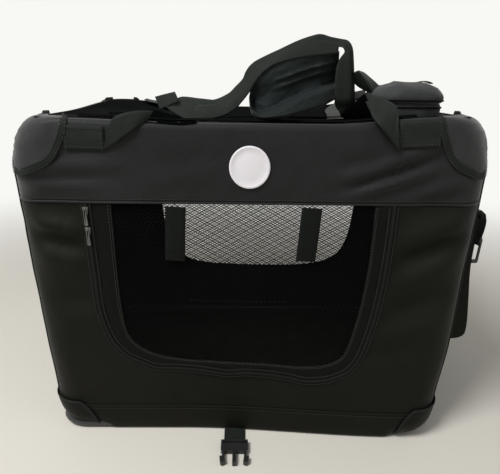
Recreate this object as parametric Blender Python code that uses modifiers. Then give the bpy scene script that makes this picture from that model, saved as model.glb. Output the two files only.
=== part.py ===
"""Soft folding dog crate: a steel tube frame that folds flat inside a sewn fabric cover.

Run it with Blender in the background, or from Blender's text editor.
Units are metres and +Z is up. The origin is the middle of the underside, on the floor,
with the doorway at -Y and the long side along X.
"""
import math

import bmesh
import bpy
from mathutils import Matrix, Vector

# Driving dimensions of the crate
LENGTH = 0.70
WIDTH = 0.52
HEIGHT = 0.52
CORNER_RADIUS = 0.050
SHOULDER_DROP = 0.055
SHOULDER_INSET = 0.044

# Sheet goods
FABRIC = 0.0015
FLOOR_FABRIC = 0.0020
WEBBING_WIDTH = 0.038
WEBBING = 0.0020
GAP = 0.0003
OVERRUN = 0.010

# Steel tube frame
TUBE_RADIUS = 0.00625
BAR_DROP = 0.090
POST_END_INSET = 0.062
POST_SIDE_CLEARANCE = 0.002
POST_CORNER_RADIUS = 0.040
POST_BELOW_PIN = 0.007
POST_INSET = 0.0065
LEFT_PIN_HEIGHT = 0.027
STACK_CLEARANCE = 0.0015
TOP_END_INSET = 0.050
TOP_CORNER_RADIUS = 0.042
PIN_RADIUS = 0.0020
PIN_HEAD_RADIUS = 0.0036
PIN_HEAD = 0.0012

# Hinge brackets and snap clips
BRACKET_SPAN = 0.022
BRACKET_ROOF = 0.0030
EAR = 0.0030
EAR_CLEARANCE = 0.0005
EAR_RADIUS = 0.0070
CLIP_LENGTH = 0.016
POST_TO_CLIP = 0.078
CLIP_WALL = 0.0035

# Base
SKIRT_HEIGHT = 0.052
TRAY_EDGE_RADIUS = 0.0015
BOARD = 0.0040
BOARD_END_CLEARANCE = 0.0010

# Front doorway, rear window and their seams
BAND_HEIGHT = 0.1075
DOOR_LEFT_MARGIN = 0.1075
DOOR_RIGHT_MARGIN = 0.142
DOOR_SILL = 0.124
DOOR_RADIUS = 0.080
DOOR_GAP = 0.0010
DOOR_BORDER_LEFT = 0.031
DOOR_BORDER_RIGHT = 0.025
DOOR_BORDER_LOW = 0.0145
DOOR_BORDER_TOP = 0.006
DOOR_TOP_GAP = 0.0020
WINDOW_MARGIN = 0.115
WINDOW_X = 0.010
WINDOW_SILL = 0.127
WINDOW_RADIUS = 0.070
NET = 0.0010
NET_STRAND = 0.0030
NET_COLUMNS = 12
NET_ROWS = 7
NET_MARGIN = 0.004
ZIP_WIDTH = 0.0060
ZIP_DEPTH = 0.0020

# Zip sliders and pullers
SLIDER_WIDTH = 0.0090
SLIDER_LENGTH = 0.0120
SLIDER_DEPTH = 0.0035
SLIDER_PITCH = 0.0300
SLIDER_TOP_CLEARANCE = 0.004
PULLER_LENGTH = 0.0240
PULLER_WIDTH = 0.0065
PULLER = 0.0016
PULLER_HOLE_RADIUS = 0.0018

# Tie straps that hold the rolled door
TIE_WIDTH = 0.030
TIE_LENGTH = 0.081
TIE = 0.0015
TIE_LEFT_X = -0.112
TIE_RIGHT_X = 0.087

# Badge disc
BADGE_RADIUS = 0.029
BADGE = 0.0015
BADGE_X = -0.005
BADGE_DROP = 0.0568

# Corner patches
TOP_PATCH_RADIUS = 0.080
TOP_PATCH_INSET = 0.016
TOP_PATCH_RAISE = 0.012
PATCH = 0.0012
PATCH_BELOW_SKIRT = 0.0015

# Handle straps
TAB_OUTER_INSET = 0.0945
TAB_LENGTH = 0.0535
TAB_HEIGHT = 0.030
HANDLE_INSET = 0.055
LEFT_FOOT_X = -0.085
RIGHT_FOOT_X = 0.130
ROOF_STRAP_LEFT_X = -0.160
ROOF_STRAP_RIGHT_X = 0.163
STRAP_PAIR_GAP = 0.0030
HANDLE_RISE = 0.088
WRAP = 0.0020
WRAP_LIFT = 0.010

# Roof pouch
POUCH_END_INSET = 0.084
POUCH_LENGTH = 0.094
POUCH_FRONT_INSET = 0.028
POUCH_WIDTH = 0.082
POUCH_RADIUS = 0.018
POUCH_BODY_HEIGHT = 0.0265
POUCH_LID_HEIGHT = 0.0255
POUCH_LID_ROUND = 0.008
POUCH_WALL = 0.0020
POUCH_TAB_WIDTH = 0.010
POUCH_TAB_LENGTH = 0.012

# Side pocket
POCKET_END_MARGIN = 0.070
POCKET_DEPTH = 0.024
POCKET_SILL = 0.155
POCKET_TOP_DROP = 0.140
POCKET_RADIUS = 0.020
FLAP_DROP = 0.048
FLAP_OVERHANG = 0.006
LADDER_WIDTH = 0.016
LADDER_HEIGHT = 0.044
LADDER_DROP = 0.040
LADDER_DEPTH = 0.004
LADDER_RIM = 0.003
LADDER_INSET_Y = 0.012
HANGER_RISE = 0.006

# Closing strap and side-release buckle
CLOSURE_X = -0.026
CLOSURE_STRAP_LENGTH = 0.038
BUCKLE_WIDTH = 0.047
BUCKLE_BODY_LENGTH = 0.0245
BUCKLE_DEPTH = 0.0080
BUCKLE_SLOT_WIDTH = 0.0400
BUCKLE_SLOT_LENGTH = 0.0050
BUCKLE_BAR = 0.0040
PRONG_LENGTH = 0.032
PRONG_WIDTH = 0.0070
BARB = 0.0030
GUIDE_WIDTH = 0.0065
SOCKET_LENGTH = 0.040
SOCKET_WALL = 0.0022
SOCKET_WINDOW_LENGTH = 0.016
BUCKLE_CLEARANCE = 0.0005

# Mesh fineness
WELD = 0.000005
ARC_STEPS = 6
TUBE_SIDES_RESOLUTION = 2
LEVELS_SHOULDER = 5
CREST_STEPS = 3
CREST_TURN = 66
ROUND_PROFILE = 0.5

# Places that follow from the sizes above
HALF_LENGTH = LENGTH / 2
HALF_WIDTH = WIDTH / 2
TUBE_INSET = FABRIC + GAP + TUBE_RADIUS
ROOF_UNDERSIDE = HEIGHT - FABRIC
WALL_TOP = HEIGHT - FABRIC / 2
ROOF_EDGE_HEIGHT = HEIGHT - FABRIC / 4
TOP_TUBE_HEIGHT = ROOF_UNDERSIDE - GAP - TUBE_RADIUS
CREST_RADIUS = FABRIC + GAP + TUBE_RADIUS
SHOULDER_HEIGHT = HEIGHT - SHOULDER_DROP
BASE_TUBE_HEIGHT = FLOOR_FABRIC + GAP + TUBE_RADIUS
POST_X = HALF_LENGTH - TUBE_INSET - POST_INSET
RIGHT_POST_Y = HALF_WIDTH - POST_END_INSET
LEFT_POST_Y = RIGHT_POST_Y - 2 * TUBE_RADIUS - POST_SIDE_CLEARANCE
CLIP_PLACE_Y = RIGHT_POST_Y - POST_TO_CLIP
PIN_RISE = 2 * TUBE_RADIUS + STACK_CLEARANCE
RIGHT_PIN_HEIGHT = LEFT_PIN_HEIGHT + PIN_RISE
RIGHT_BAR_HEIGHT = HEIGHT - BAR_DROP
LEFT_BAR_HEIGHT = RIGHT_BAR_HEIGHT - PIN_RISE
TOP_END_X = HALF_LENGTH - TOP_END_INSET
ROOF_TOP = HEIGHT
STRAP_TOP = ROOF_TOP + GAP + WEBBING
HANDLE_PIVOT_HEIGHT = STRAP_TOP + GAP
FRONT_FACE = -HALF_WIDTH
PANEL_MIDDLE_Y = FRONT_FACE + FABRIC / 2
SEAM_HEIGHT = HEIGHT - BAND_HEIGHT
DOOR_TOP = SEAM_HEIGHT - DOOR_TOP_GAP
CHAIN_TOP = DOOR_TOP - 1.5 * ZIP_DEPTH
DOOR_HALF_WIDTH = (LENGTH - DOOR_LEFT_MARGIN - DOOR_RIGHT_MARGIN) / 2
DOOR_X = (DOOR_LEFT_MARGIN - DOOR_RIGHT_MARGIN) / 2
WINDOW_HALF_WIDTH = HALF_LENGTH - WINDOW_MARGIN
BADGE_HEIGHT = HEIGHT - BADGE_DROP
TAB_OUTER_X = HALF_LENGTH - TAB_OUTER_INSET
TAB_INNER_X = TAB_OUTER_X - TAB_LENGTH
HANDLE_Y = HANDLE_INSET - HALF_WIDTH
POUCH_RIGHT_X = HALF_LENGTH - POUCH_END_INSET
POUCH_LEFT_X = POUCH_RIGHT_X - POUCH_LENGTH
POUCH_FRONT_Y = POUCH_FRONT_INSET - HALF_WIDTH
POUCH_REAR_Y = POUCH_FRONT_Y + POUCH_WIDTH
POCKET_HALF_WIDTH = HALF_WIDTH - POCKET_END_MARGIN
POCKET_TOP = HEIGHT - POCKET_TOP_DROP
BASE_PATCH_HEIGHT = SKIRT_HEIGHT - PATCH_BELOW_SKIRT
RIGHT_FACE = HALF_LENGTH

CRATE = bpy.data.collections.new("soft_folding_dog_crate")
CUTTERS = bpy.data.collections.new("cutters")
MATERIALS = {}


def clear_scene():
    for old in list(bpy.data.objects):
        bpy.data.objects.remove(old, do_unlink=True)
    bpy.context.scene.collection.children.link(CRATE)
    bpy.context.scene.collection.children.link(CUTTERS)


def material(name, colour, roughness, metallic=0.0):
    """Principled material, made once for each name."""
    if name not in MATERIALS:
        made = bpy.data.materials.new(name)
        made.use_nodes = True
        shader = made.node_tree.nodes["Principled BSDF"]
        shader.inputs["Base Color"].default_value = (*colour, 1.0)
        shader.inputs["Roughness"].default_value = roughness
        shader.inputs["Metallic"].default_value = metallic
        MATERIALS[name] = made
    return MATERIALS[name]


def oxford():
    return material("black_oxford", (0.022, 0.023, 0.022), 0.75)


def webbing_black():
    return material("black_webbing", (0.030, 0.034, 0.032), 0.80)


def steel():
    return material("painted_steel", (0.035, 0.035, 0.038), 0.45, 0.6)


def plastic():
    return material("black_plastic", (0.020, 0.020, 0.022), 0.40)


def netting():
    return material("black_net", (0.018, 0.018, 0.019), 0.70)


def zinc():
    return material("zinc_alloy", (0.55, 0.56, 0.56), 0.35, 1.0)


def badge_white():
    return material("badge_white", (0.80, 0.80, 0.79), 0.50)


def hardboard():
    return material("hardboard", (0.06, 0.05, 0.045), 0.85)


def put(name, bm, finish, pivot=(0.0, 0.0, 0.0), smooth=True):
    """Turns a bmesh in world coordinates into a named object with its origin on its pivot."""
    bmesh.ops.remove_doubles(bm, verts=bm.verts, dist=WELD)
    bmesh.ops.recalc_face_normals(bm, faces=bm.faces)
    bmesh.ops.translate(bm, verts=bm.verts, vec=-Vector(pivot))
    mesh = bpy.data.meshes.new(name)
    bm.to_mesh(mesh)
    bm.free()
    mesh.materials.append(finish)
    if smooth:
        mesh.shade_smooth()
        mesh.set_sharp_from_angle(angle=math.radians(35))
    made = bpy.data.objects.new(name, mesh)
    made.location = pivot
    CRATE.objects.link(made)
    return made


def hide_cutter(cutter):
    """Keeps a cutting shape out of the crate's own collection and out of sight."""
    for home in list(cutter.users_collection):
        home.objects.unlink(cutter)
    CUTTERS.objects.link(cutter)
    cutter.hide_render = True
    cutter.display_type = "WIRE"


def combine(target, other, operation):
    """Exact Boolean of another shape with target."""
    hide_cutter(other)
    step = target.modifiers.new(other.name, "BOOLEAN")
    step.operation = operation
    step.solver = "EXACT"
    step.object = other


def cut(target, cutter):
    combine(target, cutter, "DIFFERENCE")


def bevel(target, width, segments=2, angle=40):
    step = target.modifiers.new("Bevel", "BEVEL")
    step.width = width
    step.segments = segments
    step.limit_method = "ANGLE"
    step.angle_limit = math.radians(angle)
    step.harden_normals = False


def arc(centre, radius, start, end, steps=ARC_STEPS):
    """Points of a plane arc, both ends included; angles in degrees."""
    points = []
    for step in range(steps + 1):
        angle = math.radians(start + (end - start) * step / steps)
        points.append((centre[0] + radius * math.cos(angle), centre[1] + radius * math.sin(angle)))
    return points


def rounded_rectangle(half_x, half_y, radius, steps=ARC_STEPS):
    """Outline of a rectangle about the origin with rounded corners, counter-clockwise."""
    x, y = half_x - radius, half_y - radius
    points = arc((x, y), radius, 0, 90, steps) + arc((-x, y), radius, 90, 180, steps)
    return points + arc((-x, -y), radius, 180, 270, steps) + arc((x, -y), radius, 270, 360, steps)


def u_outline(half_width, low, high, radius, middle=0.0):
    """Outline in X and Z of an opening with a straight top and round lower corners."""
    left, right = middle - half_width + radius, middle + half_width - radius
    lower = arc((left, low + radius), radius, 180, 270) + arc((right, low + radius), radius, 270, 360)
    return [(middle + half_width, high), (middle - half_width, high)] + lower


def prism(outline, low, high, axis="Z"):
    """Closed prism of a flat outline. The outline's two numbers are X,Y or X,Z or Y,Z."""
    turns = {"Z": (0, 1, 2), "Y": (0, 2, 1), "X": (2, 0, 1)}

    def place(point, level):
        spots = (*point, level)
        return tuple(spots[k] for k in turns[axis])

    bm = bmesh.new()
    face = bm.faces.new([bm.verts.new(place(p, low)) for p in outline])
    grown = bmesh.ops.extrude_face_region(bm, geom=[face])
    shift = Vector(place((0.0, 0.0), high - low))
    bmesh.ops.translate(bm, verts=[v for v in grown["geom"] if isinstance(v, bmesh.types.BMVert)], vec=shift)
    bmesh.ops.recalc_face_normals(bm, faces=bm.faces)
    return bm


def plate(name, outline, low, high, finish, axis="Z", pivot=(0.0, 0.0, 0.0)):
    return put(name, prism(outline, low, high, axis), finish, pivot)


def block(corner_low, corner_high):
    """Closed box between two corners."""
    bm = bmesh.new()
    bmesh.ops.create_cube(bm, size=1.0)
    low, high = Vector(corner_low), Vector(corner_high)
    bmesh.ops.scale(bm, verts=bm.verts, vec=high - low)
    bmesh.ops.translate(bm, verts=bm.verts, vec=(low + high) / 2)
    return bm


def rod(start, end, radius, segments=16):
    """Closed cylinder between two points."""
    start, end = Vector(start), Vector(end)
    axis = end - start
    bm = bmesh.new()
    bmesh.ops.create_cone(bm, cap_ends=True, segments=segments, radius1=radius, radius2=radius,
                          depth=axis.length)
    turn = axis.to_track_quat("Z", "Y").to_matrix().to_4x4()
    bmesh.ops.transform(bm, verts=bm.verts, matrix=Matrix.Translation((start + end) / 2) @ turn)
    return bm


def merge(*pieces):
    """Several closed shapes that don't touch, as one mesh."""
    whole = bmesh.new()
    for piece in pieces:
        holder = bpy.data.meshes.new("holder")
        piece.to_mesh(holder)
        piece.free()
        whole.from_mesh(holder)
        bpy.data.meshes.remove(holder)
    return whole


def tube(name, points, radius, finish, cyclic=False, pivot=(0.0, 0.0, 0.0)):
    """Bent tube as a bevelled poly curve, made a mesh with its caps welded."""
    curve = bpy.data.curves.new(name + "_line", "CURVE")
    curve.dimensions = "3D"
    curve.bevel_depth = radius
    curve.bevel_resolution = TUBE_SIDES_RESOLUTION
    curve.use_fill_caps = True
    line = curve.splines.new("POLY")
    line.points.add(len(points) - 1)
    for spot, place in zip(line.points, points):
        spot.co = (*place, 1.0)
    line.use_cyclic_u = cyclic
    guide = bpy.data.objects.new(name + "_line", curve)
    CRATE.objects.link(guide)
    ready = guide.evaluated_get(bpy.context.evaluated_depsgraph_get())
    mesh = bpy.data.meshes.new_from_object(ready)
    bm = bmesh.new()
    bm.from_mesh(mesh)
    bpy.data.objects.remove(guide, do_unlink=True)
    bpy.data.meshes.remove(mesh)
    return put(name, bm, finish, pivot)


def shoulder_half_length(height, outward=0.0):
    """Half length of the cover at a height: it draws in above the shoulder."""
    share = max(0.0, (height - SHOULDER_HEIGHT) / (SHOULDER_DROP + outward))
    reach = (SHOULDER_INSET + outward) * math.sqrt(max(0.0, 1.0 - share * share))
    return HALF_LENGTH - SHOULDER_INSET + reach


def crest_half_width(height, outward=0.0):
    """Half width of the cover at a height: it rolls over the top tube."""
    share = max(0.0, (height - (HEIGHT - CREST_RADIUS)) / (CREST_RADIUS + outward))
    return HALF_WIDTH - CREST_RADIUS + (CREST_RADIUS + outward) * math.sqrt(max(0.0, 1.0 - share * share))


def side_outline(side, height, outward=0.0):
    """Plan points of one side of the cover at a height, from corner seam to corner seam."""
    half_x = shoulder_half_length(height, outward)
    half_y = crest_half_width(height, outward)
    radius = CORNER_RADIUS + outward
    seam = math.degrees(GAP / CORNER_RADIUS)
    x, y = half_x - radius, half_y - radius
    starts = {"front": ((-x, -y), (x, -y), 225), "right": ((x, -y), (x, y), 315)}
    starts["rear"] = ((x, y), (-x, y), 45)
    starts["left"] = ((-x, y), (-x, -y), 135)
    first, second, start = starts[side]
    corner = arc(first, radius, start + seam, start + 45, 4)
    return corner + arc(second, radius, start + 45, start + 90 - seam, 4)


def wall_heights(low, high, outward=0.0):
    """Rows of a wall: its ends, and more where the shoulder and the crest bend."""
    rows = [low, high]
    for step in range(LEVELS_SHOULDER):
        rows.append(SHOULDER_HEIGHT + (HEIGHT - CREST_RADIUS - SHOULDER_HEIGHT) * step / LEVELS_SHOULDER)
    for step in range(CREST_STEPS):
        turn = math.radians(CREST_TURN) * step / CREST_STEPS
        rows.append(HEIGHT - CREST_RADIUS + (CREST_RADIUS + outward) * math.sin(turn))
    return sorted(h for h in rows if low <= h <= high)


def sheet(rows):
    """Open sheet lofted through rows of points."""
    bm = bmesh.new()
    grid = [[bm.verts.new(p) for p in row] for row in rows]
    for below, above in zip(grid, grid[1:]):
        for k in range(len(below) - 1):
            bm.faces.new((below[k], below[k + 1], above[k + 1], above[k]))
    return bm


def thicken(target, thickness, inwards=True):
    step = target.modifiers.new("Solidify", "SOLIDIFY")
    step.thickness = thickness
    step.offset = -1.0 if inwards else 1.0
    step.use_even_offset = True


def wall(name, side, low, high, finish, outward=0.0, thickness=FABRIC):
    """One side of the fabric cover between two heights."""
    rows = []
    for height in wall_heights(low, high):
        rows.append([(x, y, height) for x, y in side_outline(side, height, outward)])
    bm = sheet(rows)
    mesh = bpy.data.meshes.new(name)
    bm.normal_update()
    bm.to_mesh(mesh)
    bm.free()
    mesh.materials.append(finish)
    mesh.shade_smooth()
    made = bpy.data.objects.new(name, mesh)
    CRATE.objects.link(made)
    thicken(made, thickness)
    return made


def cutter_from(bm, name):
    return put(name, bm, oxford(), smooth=False)


def base_tray():
    """Floor fabric with its skirt, which wraps the base tube."""
    outer = rounded_rectangle(HALF_LENGTH, HALF_WIDTH, CORNER_RADIUS)
    tray = plate("base_tray", outer, 0.0, SKIRT_HEIGHT, oxford())
    bevel(tray, TRAY_EDGE_RADIUS)
    for sign_x, sign_y, start in ((1, 1, 0), (-1, 1, 90), (-1, -1, 180), (1, -1, 270)):
        centre = sign_x * (HALF_LENGTH - CORNER_RADIUS), sign_y * (HALF_WIDTH - CORNER_RADIUS)
        around = arc(centre, CORNER_RADIUS - FABRIC / 2, start, start + 90, 8)
        around += arc(centre, CORNER_RADIUS + PATCH, start + 90, start, 8)
        patch = cutter_from(prism(around, TRAY_EDGE_RADIUS, BASE_PATCH_HEIGHT), "tray_patch_%d" % start)
        combine(tray, patch, "UNION")
    inner = rounded_rectangle(HALF_LENGTH - FABRIC, HALF_WIDTH - FABRIC, CORNER_RADIUS - FABRIC)
    cut(tray, cutter_from(prism(inner, FLOOR_FABRIC, SKIRT_HEIGHT + OVERRUN), "tray_hollow"))


def loop_points(half_x, half_y, radius, height):
    return [(x, y, height) for x, y in rounded_rectangle(half_x, half_y, radius)]


def base_frame():
    half_x, half_y = HALF_LENGTH - TUBE_INSET, HALF_WIDTH - TUBE_INSET
    points = loop_points(half_x, half_y, CORNER_RADIUS - TUBE_INSET, BASE_TUBE_HEIGHT)
    tube("base_frame", points, TUBE_RADIUS, steel(), cyclic=True)


def top_frame():
    points = loop_points(TOP_END_X, HALF_WIDTH - TUBE_INSET, TOP_CORNER_RADIUS, TOP_TUBE_HEIGHT)
    tube("top_frame", points, TUBE_RADIUS, steel(), cyclic=True)


def floor_board():
    half_x = POST_X - BRACKET_SPAN / 2 - BOARD_END_CLEARANCE - TUBE_RADIUS / 2
    half_y = HALF_WIDTH - TUBE_INSET - TUBE_RADIUS - BOARD_END_CLEARANCE
    low = FLOOR_FABRIC + GAP
    outline = rounded_rectangle(half_x, half_y, CORNER_RADIUS / 2)
    board = plate("floor_board", outline, low, low + BOARD, hardboard())
    bevel(board, BOARD / 8, 1)


def end_frame(name, sign, post_y, pin_height, bar_height):
    """Inverted U of tube on two pivot pins; it folds inwards about the pins."""
    x = sign * POST_X
    low = pin_height - POST_BELOW_PIN
    inner = post_y - POST_CORNER_RADIUS
    high = bar_height - POST_CORNER_RADIUS
    points = [(x, post_y, low)] + [(x, y, z) for y, z in arc((inner, high), POST_CORNER_RADIUS, 0, 90)]
    points += [(x, y, z) for y, z in arc((-inner, high), POST_CORNER_RADIUS, 90, 180)] + [(x, -post_y, low)]
    frame = tube(name, points, TUBE_RADIUS, steel(), pivot=(x, 0.0, pin_height))
    reach = post_y + TUBE_RADIUS + OVERRUN
    bore = rod((x, -reach, pin_height), (x, reach, pin_height), PIN_RADIUS + GAP)
    cut(frame, cutter_from(bore, name + "_pin_bore"))


def pivot_pin(name, sign, y, pin_height):
    """Headed pin through a post and its bracket's ears."""
    half = TUBE_RADIUS + EAR_CLEARANCE + EAR + GAP
    profile = [(0.0, -half - PIN_HEAD), (PIN_HEAD_RADIUS, -half - PIN_HEAD), (PIN_HEAD_RADIUS, -half)]
    profile += [(PIN_RADIUS, -half), (PIN_RADIUS, half), (PIN_HEAD_RADIUS, half)]
    profile += [(PIN_HEAD_RADIUS, half + PIN_HEAD), (0.0, half + PIN_HEAD)]
    put(name, turned(profile, (sign * POST_X, y, pin_height)), steel())


def turned(profile, place, segments=16):
    """Closed body of revolution about the Y axis through place; profile is radius, length."""
    bm = bmesh.new()
    verts = [bm.verts.new((radius, along, 0.0)) for radius, along in profile]
    edges = [bm.edges.new(pair) for pair in zip(verts, verts[1:])]
    bmesh.ops.spin(bm, geom=verts + edges, cent=(0, 0, 0), axis=(0, 1, 0), angle=math.tau,
                   steps=segments, use_merge=True)
    bmesh.ops.remove_doubles(bm, verts=bm.verts, dist=PIN_RADIUS / 100)
    bmesh.ops.recalc_face_normals(bm, faces=bm.faces)
    bmesh.ops.translate(bm, verts=bm.verts, vec=place)
    return bm


def hinge_bracket(name, sign, y, pin_height):
    """Moulded saddle riveted over the base tube, with two ears for the pivot pin."""
    tube_x = sign * (HALF_LENGTH - TUBE_INSET)
    outer_x = sign * (HALF_LENGTH - FABRIC - GAP)
    inner_x = sign * (abs(outer_x) - BRACKET_SPAN)
    saddle_top = BASE_TUBE_HEIGHT + TUBE_RADIUS + BRACKET_ROOF
    ear_inside = TUBE_RADIUS + EAR_CLEARANCE
    half_y = ear_inside + EAR
    low_x, high_x = min(inner_x, outer_x), max(inner_x, outer_x)
    saddle = block((low_x, y - half_y, BASE_TUBE_HEIGHT), (high_x, y + half_y, saddle_top))
    bracket = put(name, saddle, plastic())
    pin_x = sign * POST_X
    for label, side in (("a", -1), ("b", 1)):
        near, far = sorted((y + side * ear_inside, y + side * half_y))
        base = saddle_top - BRACKET_ROOF / 2
        outline = [(pin_x - EAR_RADIUS, base), (pin_x + EAR_RADIUS, base)]
        outline += arc((pin_x, pin_height), EAR_RADIUS, 0, 180, 8)
        if sign > 0:
            outline = [(min(px, high_x), pz) for px, pz in outline]
        else:
            outline = [(max(px, low_x), pz) for px, pz in outline]
        combine(bracket, cutter_from(prism(outline, near, far, "Y"), name + "_ear_" + label), "UNION")
    start, end = y - half_y - OVERRUN, y + half_y + OVERRUN
    bore = rod((tube_x, start, BASE_TUBE_HEIGHT), (tube_x, end, BASE_TUBE_HEIGHT), TUBE_RADIUS + GAP)
    cut(bracket, cutter_from(bore, name + "_tube_bore"))
    hole = rod((pin_x, start, pin_height), (pin_x, end, pin_height), PIN_RADIUS + GAP)
    cut(bracket, cutter_from(hole, name + "_pin_hole"))


def snap_clip(name, sign, y, bar_height):
    """Arm from the top frame's end tube that the end frame's bar snaps into."""
    top, bar = (TOP_END_X, TOP_TUBE_HEIGHT), (POST_X, bar_height)
    ring = TUBE_RADIUS + CLIP_WALL
    inset = -(FABRIC + 2 * GAP)
    lowest = bar[1] - ring
    outline = arc(top, ring, 180, 300, 8)
    outline += [(bar[0] - TUBE_RADIUS / 2, bar[1] + ring + CLIP_WALL)]
    outline += [(bar[0] + TUBE_RADIUS + GAP, bar[1] + TUBE_RADIUS), (bar[0] + TUBE_RADIUS + GAP, bar[1])]
    outline += [(bar[0], bar[1] - TUBE_RADIUS - GAP), (bar[0], lowest)]
    rise = top[1] - lowest
    for share in (0.0, 0.30, 0.50, 0.62, 0.74, 0.87, 1.0):
        height = lowest + rise * share
        outline.append((shoulder_half_length(height, inset), height))
    mirrored = [(sign * px, pz) for px, pz in outline]
    half = CLIP_LENGTH / 2
    clip = plate(name, mirrored, y - half, y + half, plastic(), "Y")
    low, high = y - half - OVERRUN, y + half + OVERRUN
    for label, place in (("top", top), ("bar", bar)):
        x, z = sign * place[0], place[1]
        seat = rod((x, low, z), (x, high, z), TUBE_RADIUS + GAP, 20)
        cut(clip, cutter_from(seat, name + "_seat_" + label))


def frame_group():
    base_frame()
    top_frame()
    floor_board()
    end_frame("left_end_frame", -1, LEFT_POST_Y, LEFT_PIN_HEIGHT, LEFT_BAR_HEIGHT)
    end_frame("right_end_frame", 1, RIGHT_POST_Y, RIGHT_PIN_HEIGHT, RIGHT_BAR_HEIGHT)
    corners = (("left_front", -1, -LEFT_POST_Y, LEFT_PIN_HEIGHT),
               ("left_rear", -1, LEFT_POST_Y, LEFT_PIN_HEIGHT),
               ("right_front", 1, -RIGHT_POST_Y, RIGHT_PIN_HEIGHT),
               ("right_rear", 1, RIGHT_POST_Y, RIGHT_PIN_HEIGHT))
    for corner, sign, y, pin_height in corners:
        pivot_pin(corner + "_pivot_pin", sign, y, pin_height)
        hinge_bracket(corner + "_hinge_bracket", sign, y, pin_height)
    snap_clip("left_front_clip", -1, -CLIP_PLACE_Y, LEFT_BAR_HEIGHT)
    snap_clip("left_rear_clip", -1, CLIP_PLACE_Y, LEFT_BAR_HEIGHT)
    snap_clip("right_front_clip", 1, -CLIP_PLACE_Y, RIGHT_BAR_HEIGHT)
    snap_clip("right_rear_clip", 1, CLIP_PLACE_Y, RIGHT_BAR_HEIGHT)


def doorway_prism(grow, y_low, y_high, high):
    outline = u_outline(DOOR_HALF_WIDTH + grow, DOOR_SILL - grow, high, DOOR_RADIUS + grow, DOOR_X)
    return prism(outline, y_low, y_high, "Y")


def cover_group():
    """The sewn cover: four walls, the bands above the seams, and the roof."""
    skirt_top = SKIRT_HEIGHT + GAP
    front = wall("front_panel", "front", skirt_top, SEAM_HEIGHT, oxford())
    rear = wall("rear_panel", "rear", skirt_top, WALL_TOP, oxford())
    wall("left_panel", "left", skirt_top, WALL_TOP, oxford())
    wall("right_panel", "right", skirt_top, WALL_TOP, oxford())
    wall("front_band", "front", SEAM_HEIGHT + GAP, WALL_TOP, oxford())
    reach = FABRIC + OVERRUN
    high = SEAM_HEIGHT + OVERRUN
    cut(front, cutter_from(doorway_prism(0.0, FRONT_FACE - reach, FRONT_FACE + reach, high), "doorway"))
    window = u_outline(WINDOW_HALF_WIDTH, WINDOW_SILL, SEAM_HEIGHT, WINDOW_RADIUS, WINDOW_X)
    cut(rear, cutter_from(prism(window, HALF_WIDTH - reach, HALF_WIDTH + reach, "Y"), "window_opening"))
    half_x = shoulder_half_length(ROOF_EDGE_HEIGHT)
    roof = rounded_rectangle(half_x, crest_half_width(ROOF_EDGE_HEIGHT), CORNER_RADIUS)
    panel = plate("roof_panel", roof, ROOF_UNDERSIDE, ROOF_TOP, oxford())
    bevel(panel, FABRIC / 2, 2)


def net(name, middle, half_width, low, high, radius, y_low, y_high, pivot=(0.0, 0.0, 0.0)):
    """Flat net: a thin sheet cut by a staggered pattern of diamonds."""
    sheet_outline = u_outline(half_width, low, high, radius, middle)
    made = plate(name, sheet_outline, y_low, y_high, netting(), "Y", pivot)
    wide = 2 * (half_width - NET_MARGIN)
    tall = high - low - 2 * NET_MARGIN
    step_x, step_z = wide / NET_COLUMNS, tall / NET_ROWS
    half_x, half_z = (step_x - NET_STRAND) / 2, (step_z - NET_STRAND) / 2
    holes = []
    for row in range(2 * NET_ROWS - 1):
        shift = row % 2
        for column in range(NET_COLUMNS - shift):
            x = -wide / 2 + step_x * (column + (1 + shift) / 2)
            z = low + NET_MARGIN + step_z * (row + 1) / 2
            if not inside_u(x, z, half_x, half_z, half_width, low, radius):
                continue
            x += middle
            diamond = [(x - half_x, z), (x, z - half_z), (x + half_x, z), (x, z + half_z)]
            holes.append(prism(diamond, y_low - OVERRUN, y_high + OVERRUN, "Y"))
    cut(made, cutter_from(merge(*holes), name + "_gaps"))


def inside_u(x, z, half_x, half_z, half_width, low, radius):
    """True where a diamond about x, z lies wholly inside the rounded lower corners."""
    corner_x, corner_z = half_width - radius, low + radius
    for dx, dz in ((-half_x, 0.0), (half_x, 0.0), (0.0, -half_z)):
        px, pz = abs(x + dx), z + dz
        in_corner = px > corner_x and pz < corner_z
        if in_corner and math.hypot(px - corner_x, pz - corner_z) > radius - NET_STRAND:
            return False
    return True


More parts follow.
